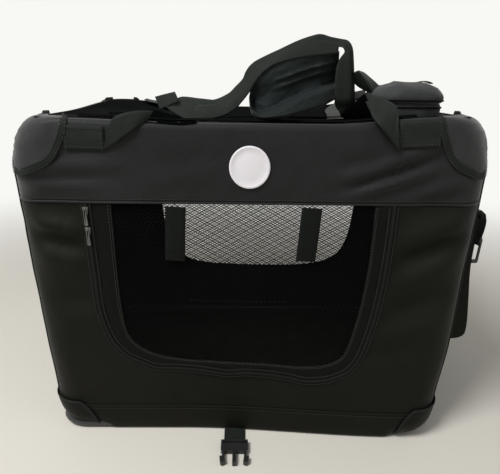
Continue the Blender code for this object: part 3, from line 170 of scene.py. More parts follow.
# The two edges of each run of webbing on the roof, as the photograph shows them
WEBBING = {
    "left_crossing": (
        [(-2070, -2630, 4831), (-1969, -2626, 4884), (-1855, -2610, 4961), (-1691, -2560, 5074),
         (-1548, -2480, 5171), (-1470, -2420, 5215)],
        [(-1977, -2640, 5127), (-1888, -2620, 5251), (-1771, -2580, 5306), (-1611, -2500, 5335),
         (-1459, -2440, 5340), (-1380, -2420, 5335)]),
    "left_underside": (
        [(-1560, -2400, 5191), (-1369, -2400, 5180), (-1163, -2400, 5164), (-955, -2400, 5160),
         (-788, -2360, 5180)],
        [(-1561, -2200, 5308), (-1460, -2200, 5335), (-1321, -2200, 5317), (-1155, -2200, 5268),
         (-819, -2200, 5190)]),
    "left_lying": (
        [(-1162, -2220, 5333), (-1062, -2260, 5279), (-936, -2290, 5217), (-782, -2300, 5174),
         (-601, -2270, 5162), (-447, -2220, 5166)],
        [(-1330, -1950, 5395), (-1255, -1900, 5422), (-1172, -1880, 5444), (-1038, -1880, 5499),
         (-804, -1900, 5483), (-599, -1930, 5467)]),
    "left_tab_end": (
        [(-1410, -2000, 5497), (-1271, -1960, 5533), (-1130, -1930, 5564)],
        [(-1335, -2100, 5332), (-1194, -2060, 5391), (-1067, -2030, 5444)]),
    "right_crossing": (
        [(1581, -2220, 5467), (1628, -2310, 5369), (1675, -2400, 5271), (1745, -2520, 5183),
         (1851, -2600, 5062), (1938, -2632, 4964), (2022, -2640, 4876)],
        [(1603, -2000, 5590), (1702, -2020, 5566), (1812, -2060, 5529), (1935, -2160, 5482),
         (1981, -2350, 5426), (1972, -2520, 5330), (1965, -2600, 5230)]),
    "right_underside": (
        [(1257, -2160, 5288), (1374, -2180, 5234), (1473, -2200, 5226), (1581, -2230, 5226),
         (1708, -2280, 5245)],
        [(1256, -2180, 5305), (1319, -2240, 5367), (1377, -2290, 5447), (1446, -2320, 5525),
         (1526, -2330, 5589)]),
    "right_loop_inner": (
        [(1419, -2050, 5716), (1483, -2040, 5673), (1544, -2040, 5641), (1602, -2050, 5617),
         (1679, -2070, 5596)],
        [(1388, -2130, 5840), (1441, -2130, 5865), (1511, -2130, 5811), (1603, -2120, 5706),
         (1680, -2090, 5606)]),
    "right_loop_outer": (
        [(1439, -2110, 5862), (1542, -2100, 5781), (1628, -2080, 5694), (1687, -2060, 5605),
         (1752, -2050, 5571), (1813, -2050, 5542)],
        [(1487, -1920, 5873), (1583, -1890, 5847), (1679, -1880, 5787), (1775, -1880, 5721),
         (1854, -1890, 5657), (1933, -1900, 5593)]),
    "right_lying": (
        [(1411, -2080, 5473), (1486, -2110, 5513), (1572, -2140, 5573)],
        [(1457, -1800, 5591), (1544, -1800, 5606), (1645, -1800, 5627)]),
    "handle_left_front": (
        [(-868, -2280, 5228), (-700, -2260, 5228), (-545, -2220, 5240), (-390, -2180, 5283),
         (-248, -2150, 5368), (-192, -2150, 5427), (-122, -2150, 5505), (-52, -2150, 5595),
         (2, -2150, 5684), (70, -2150, 5772), (164, -2150, 5859), (299, -2150, 5934), (489, -2150, 5985),
         (692, -2150, 6024), (922, -2150, 6051), (1141, -2140, 6078)],
        [(-825, -2040, 5389), (-680, -2050, 5404), (-536, -2060, 5419), (-392, -2070, 5461),
         (-263, -2080, 5540), (-179, -2080, 5618), (-109, -2080, 5707), (-54, -2080, 5795),
         (14, -2080, 5871), (96, -2080, 5939), (218, -2080, 6008), (380, -2080, 6082), (569, -2080, 6156),
         (757, -2080, 6206), (946, -2080, 6221), (1153, -2090, 6188)]),
    "handle_left_rear": (
        [(-909, -2120, 5246), (-723, -2110, 5262), (-536, -2080, 5328), (-364, -2060, 5396),
         (-250, -2050, 5488), (-164, -2050, 5579), (-94, -2050, 5670), (-39, -2050, 5759),
         (30, -2050, 5834), (112, -2050, 5910), (234, -2050, 5985), (398, -2050, 6048), (587, -2050, 6123),
         (776, -2050, 6173), (968, -2050, 6188), (1203, -2050, 6168)],
        [(-979, -1890, 5493), (-775, -1900, 5477), (-571, -1920, 5467), (-366, -1940, 5549),
         (-251, -1950, 5648), (-151, -1960, 5745), (-110, -1970, 5834), (-54, -1980, 5909),
         (29, -1980, 5972), (194, -1980, 6048), (359, -1980, 6117), (603, -1980, 6223), (818, -1980, 6291),
         (927, -1980, 6304), (1068, -1980, 6271), (1250, -1980, 6244)]),
    "handle_right_front": (
        [(1083, -2090, 6199), (1175, -2110, 6205), (1241, -2130, 6181), (1279, -2140, 6128),
         (1302, -2180, 6021), (1321, -2195, 5900), (1344, -2195, 5753), (1368, -2190, 5602),
         (1375, -2180, 5500), (1364, -2130, 5422), (1315, -2120, 5355), (1273, -2110, 5294)],
        [(1087, -2100, 6145), (1176, -2130, 6151), (1216, -2150, 6126), (1222, -2160, 6079),
         (1160, -2195, 6006), (1124, -2215, 5897), (1121, -2215, 5750), (1124, -2210, 5600),
         (1136, -2200, 5498), (1170, -2150, 5407), (1231, -2140, 5342), (1255, -2130, 5291)]),
    "handle_right_rear": (
        [(1096, -1980, 6266), (1181, -1980, 6249), (1263, -1990, 6241), (1317, -2010, 6207),
         (1356, -2030, 6135), (1380, -2050, 6001), (1406, -2060, 5817), (1434, -2060, 5627),
         (1447, -2060, 5511), (1426, -2060, 5446), (1360, -2070, 5366), (1286, -2080, 5293)],
        [(1096, -2030, 6179), (1163, -2040, 6179), (1216, -2050, 6180), (1256, -2070, 6155),
         (1272, -2090, 6095), (1274, -2100, 5986), (1284, -2110, 5814), (1296, -2110, 5626),
         (1308, -2110, 5511), (1308, -2110, 5446), (1287, -2110, 5367), (1263, -2110, 5294)]),
}
WEBBING = {name: (tenths(one), tenths(two)) for name, (one, two) in WEBBING.items()}

# Upper and lower line of the handle's cloth grip
WRAP_TOP = tenths([(-30, -2120, 5700), (111, -2120, 5834), (287, -2120, 5959), (463, -2120, 6016),
                   (625, -2120, 6054), (788, -2120, 6080), (964, -2120, 6095), (1185, -2120, 6105)])
WRAP_LOW = tenths([(-64, -2140, 5500), (-38, -2170, 5330), (55, -2250, 5230), (204, -2330, 5226),
                   (427, -2330, 5255), (682, -2270, 5322), (937, -2220, 5394), (1215, -2165, 5516)])


def linear(colour):
    """Linear RGBA of an sRGB hex colour."""
    parts = [int(colour[k:k + 2], 16) / 255 for k in (1, 3, 5)]
    return tuple(c / 12.92 if c <= 0.04045 else ((c + 0.055) / 1.055) ** 2.4 for c in parts) + (1.0,)


class CrateClothSettings(bpy.types.PropertyGroup):
    """Colours and weave of the cover's cloth."""
    panel: FloatVectorProperty(
        name="Panel", description="Oxford cloth of the lower walls", subtype="COLOR", size=4,
        default=linear("#12120d"), min=0, max=1)
    band: FloatVectorProperty(
        name="Band", description="Oxford cloth of the band and corner patches", subtype="COLOR", size=4,
        default=linear("#222323"), min=0, max=1)
    thread: FloatVectorProperty(
        name="Thread", description="Sewing thread", subtype="COLOR", size=4,
        default=linear("#242521"), min=0, max=1)
    weave: FloatProperty(
        name="Weave", description="Spacing of the cloth's threads", default=0.0016, unit="LENGTH")
    drape: FloatProperty(
        name="Drape", description="Height of the cloth's broad waves", default=0.0022, unit="LENGTH")


class CrateWebbingSettings(bpy.types.PropertyGroup):
    """Webbing, bindings and piping."""
    tape: FloatVectorProperty(
        name="Webbing", description="Polypropylene webbing", subtype="COLOR", size=4,
        default=linear("#222623"), min=0, max=1)
    rib: FloatProperty(
        name="Rib", description="Spacing of the webbing's cross ribs", default=0.0021, unit="LENGTH")
    binding: FloatProperty(
        name="Binding", description="Width of the tape round the corner patches", default=0.011,
        unit="LENGTH")
    piping: FloatProperty(
        name="Piping", description="Radius of the cord in the corner seams", default=0.0014, unit="LENGTH")


class CrateDoorSettings(bpy.types.PropertyGroup):
    """Net and zip of the door."""
    net_width: FloatProperty(
        name="Net cell width", description="Width of one net cell", default=0.0072, unit="LENGTH")
    net_height: FloatProperty(
        name="Net cell height", description="Height of one net cell", default=0.0040, unit="LENGTH")
    strand: FloatProperty(
        name="Strand", description="Width of a net strand", default=0.0012, unit="LENGTH")
    tape: FloatProperty(
        name="Zip tape", description="Width of the zip's tape", default=0.017, unit="LENGTH")
    tooth: FloatProperty(
        name="Tooth pitch", description="Spacing of the zip's teeth", default=0.0026, unit="LENGTH")


class CrateStageSettings(bpy.types.PropertyGroup):
    """Floor, light and camera."""
    floor: FloatVectorProperty(
        name="Floor", description="Pale floor", subtype="COLOR", size=4, default=linear("#e4e0d6"),
        min=0, max=1)
    key: FloatProperty(
        name="Key light", description="Power of the large top lamp", default=40.0, unit="POWER")
    fill: FloatProperty(
        name="Fill light", description="Power of the front lamp", default=2.5, unit="POWER")


# ---------------------------------------------------------------- materials

MATERIALS = {}


def add(tree, kind, inputs=None, **settings):
    """Adds a node with its settings, and links or sets its inputs."""
    made = tree.nodes.new(kind)
    for name, value in settings.items():
        setattr(made, name, value)
    for socket, value in (inputs or {}).items():
        if isinstance(value, bpy.types.NodeSocket):
            tree.links.new(value, made.inputs[socket])
        else:
            made.inputs[socket].default_value = value
    return made


def start_material(name, roughness, metallic=0.0, **sockets):
    """A named material with its Principled shader; sockets are set on the shader itself."""
    made = bpy.data.materials.new(name)
    made.use_nodes = True
    shader = made.node_tree.nodes["Principled BSDF"]
    shader.inputs["Roughness"].default_value = roughness
    shader.inputs["Metallic"].default_value = metallic
    for label, value in sockets.items():
        shader.inputs[label.replace("_", " ")].default_value = value
    MATERIALS[name] = made
    return made, made.node_tree, shader


def tinted(colour, factor):
    """The colour made lighter or darker."""
    return tuple(min(1.0, c * factor) for c in colour[:3]) + (1.0,)


def two_tone(tree, factor, dark, light, low=0.35, high=0.65):
    """Colour that goes from dark to light as a factor goes from low to high."""
    ramp = add(tree, "ShaderNodeValToRGB", {"Fac": factor})
    ramp.color_ramp.elements[0].position = low
    ramp.color_ramp.elements[0].color = dark
    ramp.color_ramp.elements[1].position = high
    ramp.color_ramp.elements[1].color = light
    return ramp.outputs["Color"]


def ribs(pitch):
    """Scale of a wave texture whose ribs lie a real pitch apart."""
    return math.pi / (10 * pitch)


def summed(tree, *values):
    """Mean of several values."""
    total = values[0]
    for value in values[1:]:
        total = add(tree, "ShaderNodeMath", {0: total, 1: value}, operation="ADD").outputs[0]
    return add(tree, "ShaderNodeMath", {0: total, 1: 1 / len(values)}, operation="MULTIPLY").outputs[0]


def oxford_cloth(name, colour, pitch, roughness=0.56, bloom=0.07, specular=0.1):
    """PU-coated 600D polyester oxford, plain woven: dull, with a soft grey bloom where it is handled.

    The real thread pitch of 0.5 mm is too fine to show, so it is drawn three times as coarse.
    """
    _, tree, shader = start_material(name, roughness, Sheen_Weight=bloom, Sheen_Roughness=0.4,
                                     Specular_IOR_Level=specular)
    place = add(tree, "ShaderNodeTexCoord").outputs["Object"]
    broad = add(tree, "ShaderNodeTexNoise",
                {"Vector": place, "Scale": 6.0, "Detail": 5.0, "Roughness": 0.62}).outputs["Fac"]
    speck = add(tree, "ShaderNodeTexNoise", {"Vector": place, "Scale": 420.0, "Detail": 2.0}).outputs["Fac"]
    tone = add(tree, "ShaderNodeMath", {0: speck, 1: 0.35}, operation="MULTIPLY").outputs[0]
    tone = add(tree, "ShaderNodeMath", {0: broad, 1: tone}, operation="ADD").outputs[0]
    colours = two_tone(tree, tone, tinted(colour, 0.72), tinted(colour, 1.30), 0.45, 0.92)
    tree.links.new(colours, shader.inputs["Base Color"])
    threads = [add(tree, "ShaderNodeTexWave", {"Vector": place, "Scale": ribs(pitch)},
                   bands_direction=axis).outputs["Fac"] for axis in "XYZ"]
    fuzz = add(tree, "ShaderNodeMath", {0: speck, 1: 0.5}, operation="MULTIPLY").outputs[0]
    height = add(tree, "ShaderNodeMath", {0: summed(tree, *threads), 1: fuzz}, operation="ADD").outputs[0]
    crumple = add(tree, "ShaderNodeTexNoise",
                  {"Vector": place, "Scale": 24.0, "Detail": 4.0, "Distortion": 0.8}).outputs["Fac"]
    soft = add(tree, "ShaderNodeBump", {"Height": crumple, "Strength": 0.5, "Distance": 0.0035})
    bump = add(tree, "ShaderNodeBump", {"Height": height, "Strength": 0.35, "Distance": 0.0005,
                                        "Normal": soft.outputs["Normal"]})
    tree.links.new(bump.outputs["Normal"], shader.inputs["Normal"])


def ribbed_webbing(name, colour, pitch, bloom=0.05, specular=0.08):
    """Polypropylene webbing: cross ribs between two woven edges, a little glossier than the cloth."""
    _, tree, shader = start_material(name, 0.62, Sheen_Weight=bloom, Sheen_Roughness=0.4,
                                     Specular_IOR_Level=specular)
    place = add(tree, "ShaderNodeTexCoord").outputs["UV"]
    threads = [add(tree, "ShaderNodeTexWave", {"Vector": place, "Scale": ribs(spacing)},
                   bands_direction=axis).outputs["Fac"]
               for axis, spacing in (("Y", pitch), ("X", pitch * 1.7))]
    weave = summed(tree, *threads)
    broad = add(tree, "ShaderNodeTexNoise", {"Vector": place, "Scale": 60.0, "Detail": 3.0}).outputs["Fac"]
    tone = summed(tree, weave, broad, broad)
    colours = two_tone(tree, tone, tinted(colour, 0.78), tinted(colour, 1.2), 0.3, 0.75)
    tree.links.new(colours, shader.inputs["Base Color"])
    bump = add(tree, "ShaderNodeBump", {"Height": weave, "Strength": 0.5, "Distance": 0.0003})
    tree.links.new(bump.outputs["Normal"], shader.inputs["Normal"])


def grained(name, colour, roughness, scale, depth, metallic=0.0, spread=0.18, **sockets):
    """Moulded, painted or cast surface with a fine grain of a real scale."""
    _, tree, shader = start_material(name, roughness, metallic, **sockets)
    place = add(tree, "ShaderNodeTexCoord").outputs["Object"]
    fine = add(tree, "ShaderNodeTexNoise", {"Vector": place, "Scale": scale, "Detail": 3.0}).outputs["Fac"]
    wear = add(tree, "ShaderNodeTexNoise",
               {"Vector": place, "Scale": scale / 30, "Detail": 4.0}).outputs["Fac"]
    colours = two_tone(tree, wear, tinted(colour, 1 - spread), tinted(colour, 1 + spread))
    tree.links.new(colours, shader.inputs["Base Color"])
    bump = add(tree, "ShaderNodeBump", {"Height": fine, "Strength": 0.3, "Distance": depth})
    tree.links.new(bump.outputs["Normal"], shader.inputs["Normal"])


def make_materials():
    """Every finish of the crate, named for what the real one is; the cap, pouch, roof, lining and underside
    webbing finishes are lighter or darker copies that carry painted light or shade.
    """
    cloth = bpy.context.scene.crate_cloth
    tape = bpy.context.scene.crate_webbing
    oxford_cloth("oxford_panel", tuple(cloth.panel), cloth.weave, bloom=0.04)
    oxford_cloth("oxford_band", tuple(cloth.band), cloth.weave, 0.52, 0.28)
    # Band cloth lightened 1.9 times: painted light on the upper corner caps and the pocket flap
    oxford_cloth("oxford_cap", tinted(cloth.band, 1.9), cloth.weave, 0.52, 0.36)
    # Band cloth darkened to half: painted shade over the roof and its seams
    oxford_cloth("oxford_roof", tinted(cloth.band, 0.5), cloth.weave, 0.6, 0.0, 0.0)
    oxford_cloth("oxford_border", tinted(cloth.panel, 0.35), cloth.weave, 0.6, 0.03)
    # Band cloth lightened 2.6 times: painted light on the top-lit pouch
    oxford_cloth("oxford_pouch_painted_light", tinted(cloth.band, 2.6), cloth.weave, 0.72, 0.24)
    oxford_cloth("oxford_wrap", linear("#171c1c"), cloth.weave, 0.6)
    # Panel cloth darkened to a tenth: painted shade inside the closed crate
    oxford_cloth("oxford_lining_painted_shade", tinted(cloth.panel, 0.10), cloth.weave, 0.9, 0.0, 0.0)
    ribbed_webbing("polypropylene_webbing", tuple(tape.tape), tape.rib)
    # Webbing darkened to near black, with no sheen or reflection: painted shade on the strap undersides
    ribbed_webbing("shaded_webbing", tinted(tape.tape, 0.15), tape.rib, 0.0, 0.0)
    ribbed_webbing("door_tie_webbing", tinted(tape.tape, 0.38), tape.rib)
    ribbed_webbing("grosgrain_binding", tinted(tape.tape, 0.9), tape.rib * 0.6)
    # Polyester tape and moulded teeth of a 5 mm zip: matt tape, satin teeth
    ribbed_webbing("zip_tape_cloth", linear("#131411"), 0.0012, 0.0)
    grained("zip_teeth_acetal", linear("#131413"), 0.5, 900.0, 0.0001, Specular_IOR_Level=0.2)
    # Warp-knitted polyester mesh: round matt yarns
    grained("knitted_net", linear("#0a0c0b"), 0.7, 1500.0, 0.0001, Specular_IOR_Level=0.05)
    grained("sewing_thread", tuple(cloth.thread), 0.6, 2500.0, 0.0001)
    # Pale dull cord in the lining's rear seam: painted light, the thin bright line at the foot of the rear
    # wall
    grained("bleached_tape", linear("#a9a79f"), 0.8, 2200.0, 0.0001)
    # Cast zinc, tumbled and plated: soft bright satin with fine scratches
    grained("zinc_sliders", linear("#62645f"), 0.40, 1200.0, 0.00005, 1.0)
    # Acetal buckle, moulded in a sparked tool: satin with a fine grain
    grained("moulded_acetal", linear("#232423"), 0.42, 1400.0, 0.00012)
    # Powder-coated steel tube: satin with slight orange peel
    grained("powder_coated_tube", linear("#26272a"), 0.38, 500.0, 0.0002)
    grained("pressed_board", linear("#3a342d"), 0.85, 300.0, 0.0003)
    # Soft PVC badge, moulded and printed white: smooth and slightly yellowed
    grained("white_pvc", linear("#f0edf2"), 0.45, 700.0, 0.00005, spread=0.03)


# ---------------------------------------------------------------- mesh helpers

def loft(rows, ring=False, inside=None):
    """Sheet drawn out row by row: the last row's edge is extruded and set on the next row.

    An open sheet's faces are turned away from the point inside, where it is given.
    """
    bm = bmesh.new()
    layer = bm.loops.layers.uv.new("along")
    spots = {}
    verts = [bm.verts.new(p) for p in rows[0]]
    pairs = list(zip(verts, verts[1:])) + ([(verts[-1], verts[0])] if ring else [])
    edges = [bm.edges.new(pair) for pair in pairs]
    across = [0.0]
    for a, b in zip(rows[0], rows[0][1:]):
        across.append(across[-1] + (Vector(a) - Vector(b)).length)
    middle = len(rows[0]) // 2
    travelled = 0.0
    for vert, u in zip(verts, across):
        spots[vert] = (u, 0.0)
    for before, row in zip(rows, rows[1:]):
        grown = bmesh.ops.extrude_edge_only(bm, edges=edges)["geom"]
        fresh = {g for g in grown if isinstance(g, bmesh.types.BMVert)}
        turned = []
        for vert in verts:
            turned.append(next(e.other_vert(vert) for e in vert.link_edges if e.other_vert(vert) in fresh))
        travelled += (Vector(row[middle]) - Vector(before[middle])).length
        for vert, place, u in zip(turned, row, across):
            vert.co = place
            spots[vert] = (u, travelled)
        edges = [g for g in grown if isinstance(g, bmesh.types.BMEdge)
                 and g.verts[0] in fresh and g.verts[1] in fresh]
        verts = turned
    for face in bm.faces:
        for corner in face.loops:
            corner[layer].uv = spots[corner.vert]
    if inside is not None:
        outwards(bm, inside)
    return bm


def outwards(bm, inside):
    """Turns an open sheet's faces away from a point."""
    bm.normal_update()
    lean = sum((f.calc_center_median() - Vector(inside)).dot(f.normal) * f.calc_area() for f in bm.faces)
    if lean < 0:
        bmesh.ops.reverse_faces(bm, faces=bm.faces)


def linked(name, data):
    """A new object of the scene."""
    made = bpy.data.objects.new(name, data)
    bpy.context.scene.collection.objects.link(made)
    return made


def slump(place):
    """The cover as it stands: its upper corners ride up and draw in, and the right foot leans out."""
    x, y, z = place
    left = x < 0
    lift = CORNER_RISE[0] * smooth(x, 0.10, 0.27) + CORNER_RISE[1] * smooth(-x, 0.10, 0.27)
    lift += REAR_RISE[left] * smooth(abs(x), 0.12, 0.30) * smooth(y, -0.10, 0.22)
    lean = FOOT_LEAN * smooth(x, -0.12, 0.28) * smooth(-y, 0.15, 0.25)
    shoulder = smooth(z, 0.445, 0.485) * (1 - smooth(z, 0.512, 0.528))
    toe = (1 - smooth(z, 0.0, 0.06)) * smooth(-y, 0.15, 0.25)
    draw = (SHOULDER_DRAW * shoulder + TOE_DRAW[left] * toe) * smooth(abs(x), 0.24, 0.33)
    draw += FOOT_DRAW * (1 - smooth(z, 0.0, 0.22)) * smooth(x, 0.20, 0.33) * smooth(-y, 0.08, 0.25)
    return Vector((x - math.copysign(draw, x), y - lean * (1 - smooth(z, 0.0, 0.30)),
                   z + lift * smooth(z, 0.43, ROOF_Z)))


def piece(name, bm, finish, body, smooth_angle=50, replaces=(), folds=False, slumps=None, slot=""):
    """Makes the bmesh a named piece that rides on a body; folds gives it a mesh of its own.

    A piece given folds slumps with the cover too, unless slumps says otherwise.
    """
    if folds if slumps is None else slumps:
        for vert in bm.verts:
            vert.co = slump(vert.co)
    mesh = bpy.data.meshes.new(name)
    bm.to_mesh(mesh)
    bm.free()
    mesh.materials.append(MATERIALS[finish])
    mesh.shade_smooth()
    mesh.set_sharp_from_angle(angle=math.radians(smooth_angle))
    made = linked(name, mesh)
    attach(made, body)
    if replaces:
        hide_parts(*replaces)
    if folds:
        fold_with_cover(made)
    return made


def fold_with_cover(made):
    """Gives the piece a mesh of its own."""
    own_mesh(made)


def thicken(made, thickness, offset=-1.0, lining=""):
    """Gives a sheet its thickness; a lining is the finish of its inner side."""
    step = made.modifiers.new("Cloth thickness", "SOLIDIFY")
    step.thickness = thickness
    step.offset = offset
    if lining:
        made.data.materials.append(MATERIALS[lining])
        step.material_offset = 1


def curved(points, steps=12):
    """Smooth curve through the given points, in even steps from each to the next."""
    fine = []
    for k in range(len(points) - 1):
        before, a = Vector(points[max(k - 1, 0)]), Vector(points[k])
        b, after = Vector(points[k + 1]), Vector(points[min(k + 2, len(points) - 1)])
        for step in range(steps):
            t = step / steps
            fine.append(((2 * a) + (b - before) * t + (2 * before - 5 * a + 4 * b - after) * t * t
                         + (3 * a - before - 3 * b + after) * t ** 3) / 2)
    fine.append(Vector(points[-1]))
    return fine


def through(points, count):
    """Even points along a smooth curve through the given ones."""
    return evenly(curved(points), count)


def evenly(points, count):
    """The same line with a number of evenly spaced points."""
    lengths = [0.0]
    for a, b in zip(points, points[1:]):
        lengths.append(lengths[-1] + (b - a).length)
    spaced, k = [], 0
    for step in range(count):
        goal = lengths[-1] * step / (count - 1)
        while k < len(lengths) - 2 and lengths[k + 1] < goal:
            k += 1
        span = max(lengths[k + 1] - lengths[k], 1e-9)
        spaced.append(points[k].lerp(points[k + 1], (goal - lengths[k]) / span))
    return spaced


def facing(outward, place, k):
    """Outward direction at a point of a path: the same for all, listed, or worked out there."""
    if callable(outward):
        return outward(place)
    return outward[k] if isinstance(outward, list) else outward


def close_up(bm):
    """Caps the open ends and turns the faces outwards."""
    bmesh.ops.holes_fill(bm, edges=[e for e in bm.edges if e.is_boundary])
    bmesh.ops.recalc_face_normals(bm, faces=bm.faces)
    return bm


def sweep(path, outward, section, closed=False):
    """Closed body of a section drawn along a path. A section point is (across, outward)."""
    count = len(path)
    rows = []
    for k, place in enumerate(path):
        if closed:
            before, after = path[(k - 1) % count], path[(k + 1) % count]
        else:
            before, after = path[max(k - 1, 0)], path[min(k + 1, count - 1)]
        along = (after - before).normalized()
        across = facing(outward, place, k).cross(along).normalized()
        up = along.cross(across).normalized()
        rows.append([place + across * a + up * b for a, b in section])
    if closed:
        rows.append(rows[0])
    bm = loft(rows, ring=True)
    if closed:
        bmesh.ops.remove_doubles(bm, verts=bm.verts, dist=1e-6)
    return close_up(bm)


def tape_section(width, thickness, crown=0.0):
    """Flat tape with rounded edges; it may be crowned."""
    half, lip = width / 2, thickness / 2
    top = [(half - lip, thickness), (half / 2, thickness + crown * 0.75), (0.0, thickness + crown),
           (-half / 2, thickness + crown * 0.75), (-half + lip, thickness)]
    return top + [(-half, lip), (-half + lip, 0.0), (0.0, crown * 0.6), (half - lip, 0.0), (half, lip)]


def round_section(radius, sides=8):
    """Round cord."""
    turn = math.tau / sides
    return [(radius * math.cos(k * turn), radius * math.sin(k * turn)) for k in range(sides)]


def joined(bms):
    """Several bmeshes as one."""
    whole = bmesh.new()
    for bm in bms:
        holder = bpy.data.meshes.new("holder")
        bm.to_mesh(holder)
        bm.free()
        whole.from_mesh(holder)
        bpy.data.meshes.remove(holder)
    return whole


def length_of(path):
    """Length of a path."""
    return sum((b - a).length for a, b in zip(path, path[1:]))


def add_bar(bm, place, along, up, size):
    """Adds a small block that lies along a direction on a surface."""
    turn = Matrix((up.cross(along).normalized(), along, up)).transposed().to_4x4()
    scale = Matrix.Diagonal((*size, 1.0))
    bmesh.ops.create_cube(bm, size=1.0, matrix=Matrix.Translation(place) @ turn @ scale)


def bevel(bm, edges, offset, segments):
    """Rounds the edges."""
    bmesh.ops.bevel(bm, geom=edges, offset=offset, segments=segments, profile=0.5, affect="EDGES",
                    material=-1)


def measured(node):
    """Low and high corner, middle and size of a solid's box."""
    low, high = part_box(node)
    return low, high, (low + high) / 2, high - low


def rim(rows):
    """Edge of a sheet, from its first row's start along its last row to its first row's end."""
    return [row[0] for row in rows] + rows[-1][1:-1] + [row[-1] for row in reversed(rows)]


def tape(name, path, outward, size, finish, body, **more):
    """Piece of flat tape along a path; size is its width, thickness and crown."""
    return piece(name, sweep(path, outward, tape_section(*size)), finish, body, **more)


def sewn(name, paths, outward, body, **more):
    """Piece of sewing stitches along several paths."""
    return piece(name, joined([stitches(path, outward) for path in paths]), "sewing_thread", body, **more)


def stitches(path, outward, pitch=0.0046, length=0.0030, width=0.0007):
    """A run of sewing stitches that lie on a surface along a path."""
    spots = evenly(path, max(3, round(length_of(path) / pitch)))
    bm = bmesh.new()
    for k, (a, b) in enumerate(zip(spots, spots[1:])):
        up = facing(outward, a, k)
        add_bar(bm, a + up * width * 0.2, (b - a).normalized(), up, (width, length, width * 0.8))
    return bm


def hole_cutter(outline, low, high):
    """Closed prism through a wall, from its outline in X and Z, for a Boolean."""
    bm = bmesh.new()
    face = bm.faces.new([bm.verts.new((x, low, z)) for x, z in outline])
    grown = bmesh.ops.extrude_face_region(bm, geom=[face])["geom"]
    verts = [g for g in grown if isinstance(g, bmesh.types.BMVert)]
    bmesh.ops.translate(bm, verts=verts, vec=(0, high - low, 0))
    bmesh.ops.recalc_face_normals(bm, faces=bm.faces)
    return bm


def cut_hole(made, cutter_bm):
    """Applies the piece's modifiers and a Boolean cut, and puts the result in its mesh."""
    mesh = bpy.data.meshes.new("cutter")
    cutter_bm.to_mesh(mesh)
    cutter_bm.free()
    cutter = linked("cutter", mesh)
    step = made.modifiers.new("Hole", "BOOLEAN")
    step.operation, step.solver, step.object = "DIFFERENCE", "EXACT", cutter
    settle(made)
    bpy.data.objects.remove(cutter)
    bpy.data.meshes.remove(mesh)


def settle(made):
    """Puts the result of the piece's modifiers in its mesh."""
    ready = made.evaluated_get(bpy.context.evaluated_depsgraph_get())
    old = made.data
    made.data = bpy.data.meshes.new_from_object(ready)
    made.modifiers.clear()
    bpy.data.meshes.remove(old)


# ---------------------------------------------------------------- shape of the cover

def smooth(value, low, high):
    """0 below low, 1 above high, eased between."""
    t = min(1.0, max(0.0, (value - low) / (high - low)))
    return t * t * (3 - 2 * t)


def end_reach(z):
    """Half length of the cover at a height: it draws in above the shoulder."""
    share = min(1.0, max(0.0, (z - (ROOF_Z - SHOULDER_DROP)) / SHOULDER_DROP))
    return HALF_X - SHOULDER_INSET + SHOULDER_INSET * math.sqrt(1.0 - share * share)


def side_reach(z):
    """Half width of the cover at a height: it rolls over the top tube."""
    share = min(1.0, max(0.0, (z - (ROOF_Z - CREST)) / CREST))
    return HALF_Y - CREST + CREST * math.sqrt(1.0 - share * share)


def plan_loop(z, out=0.0):
    """Points of the cover's outline at a height, counter-clockwise from the front left corner."""
    half_x, half_y, radius = end_reach(z) + out, side_reach(z) + out, CORNER + out
    points = []
    for sign_x, sign_y, start, steps in ((-1, -1, 180, LONG_STEPS), (1, -1, 270, SHORT_STEPS),
                                         (1, 1, 0, LONG_STEPS), (-1, 1, 90, SHORT_STEPS)):
        x, y = sign_x * (half_x - radius), sign_y * (half_y - radius)
        for k in range(CORNER_STEPS + 1):
            turn = math.radians(start + 90 * k / CORNER_STEPS)
            points.append(Vector((x + radius * math.cos(turn), y + radius * math.sin(turn), z)))
        turn = math.radians(start + 180)
        far = Vector((math.cos(turn), math.sin(turn), 0.0))
        reach = 2 * ((half_x if steps == LONG_STEPS else half_y) - radius)
        last = points[-1]
        for k in range(1, steps):
            points.append(last + far * reach * k / steps)
    return points


def plan_normal(index):
    """Outward direction in plan at a place on the outline."""
    index %= LOOP
    for start, steps in ((180, LONG_STEPS), (270, SHORT_STEPS), (0, LONG_STEPS), (90, SHORT_STEPS)):
        if index <= CORNER_STEPS:
            turn = math.radians(start + 90 * index / CORNER_STEPS)
            return Vector((math.cos(turn), math.sin(turn), 0.0))
        index -= CORNER_STEPS
        if index < steps:
            turn = math.radians(start + 90)
            return Vector((math.cos(turn), math.sin(turn), 0.0))
        index -= steps
    return Vector((-1.0, 0.0, 0.0))


def fold_relief(u, z, folds):
    """Height of the pull folds at a place on a wall."""
    total = 0.0
    for start_u, start_z, end_u, end_z, width, height in folds:
        start = Vector((start_u, start_z))
        along = Vector((end_u, end_z)) - start
        spot = Vector((u, z)) - start
        share = spot.dot(along) / along.length_squared
        if -0.3 < share < 1.3:
            off = (spot - along * share).length * (1 if along.cross(spot) > 0 else -1)
            fade = smooth(share, -0.15, 0.3) * (1 - smooth(share, 0.7, 1.15))
            crest = math.exp(-(off / width) ** 2)
            hollow = math.exp(-((off - 1.8 * width) / width) ** 2)
            total += height * fade * (crest - 0.6 * hollow)
    return total


def ripple(x, y, z):
    """Smooth noise at a place, from -1 to 1."""
    return noise.noise(Vector((x, y, z)))


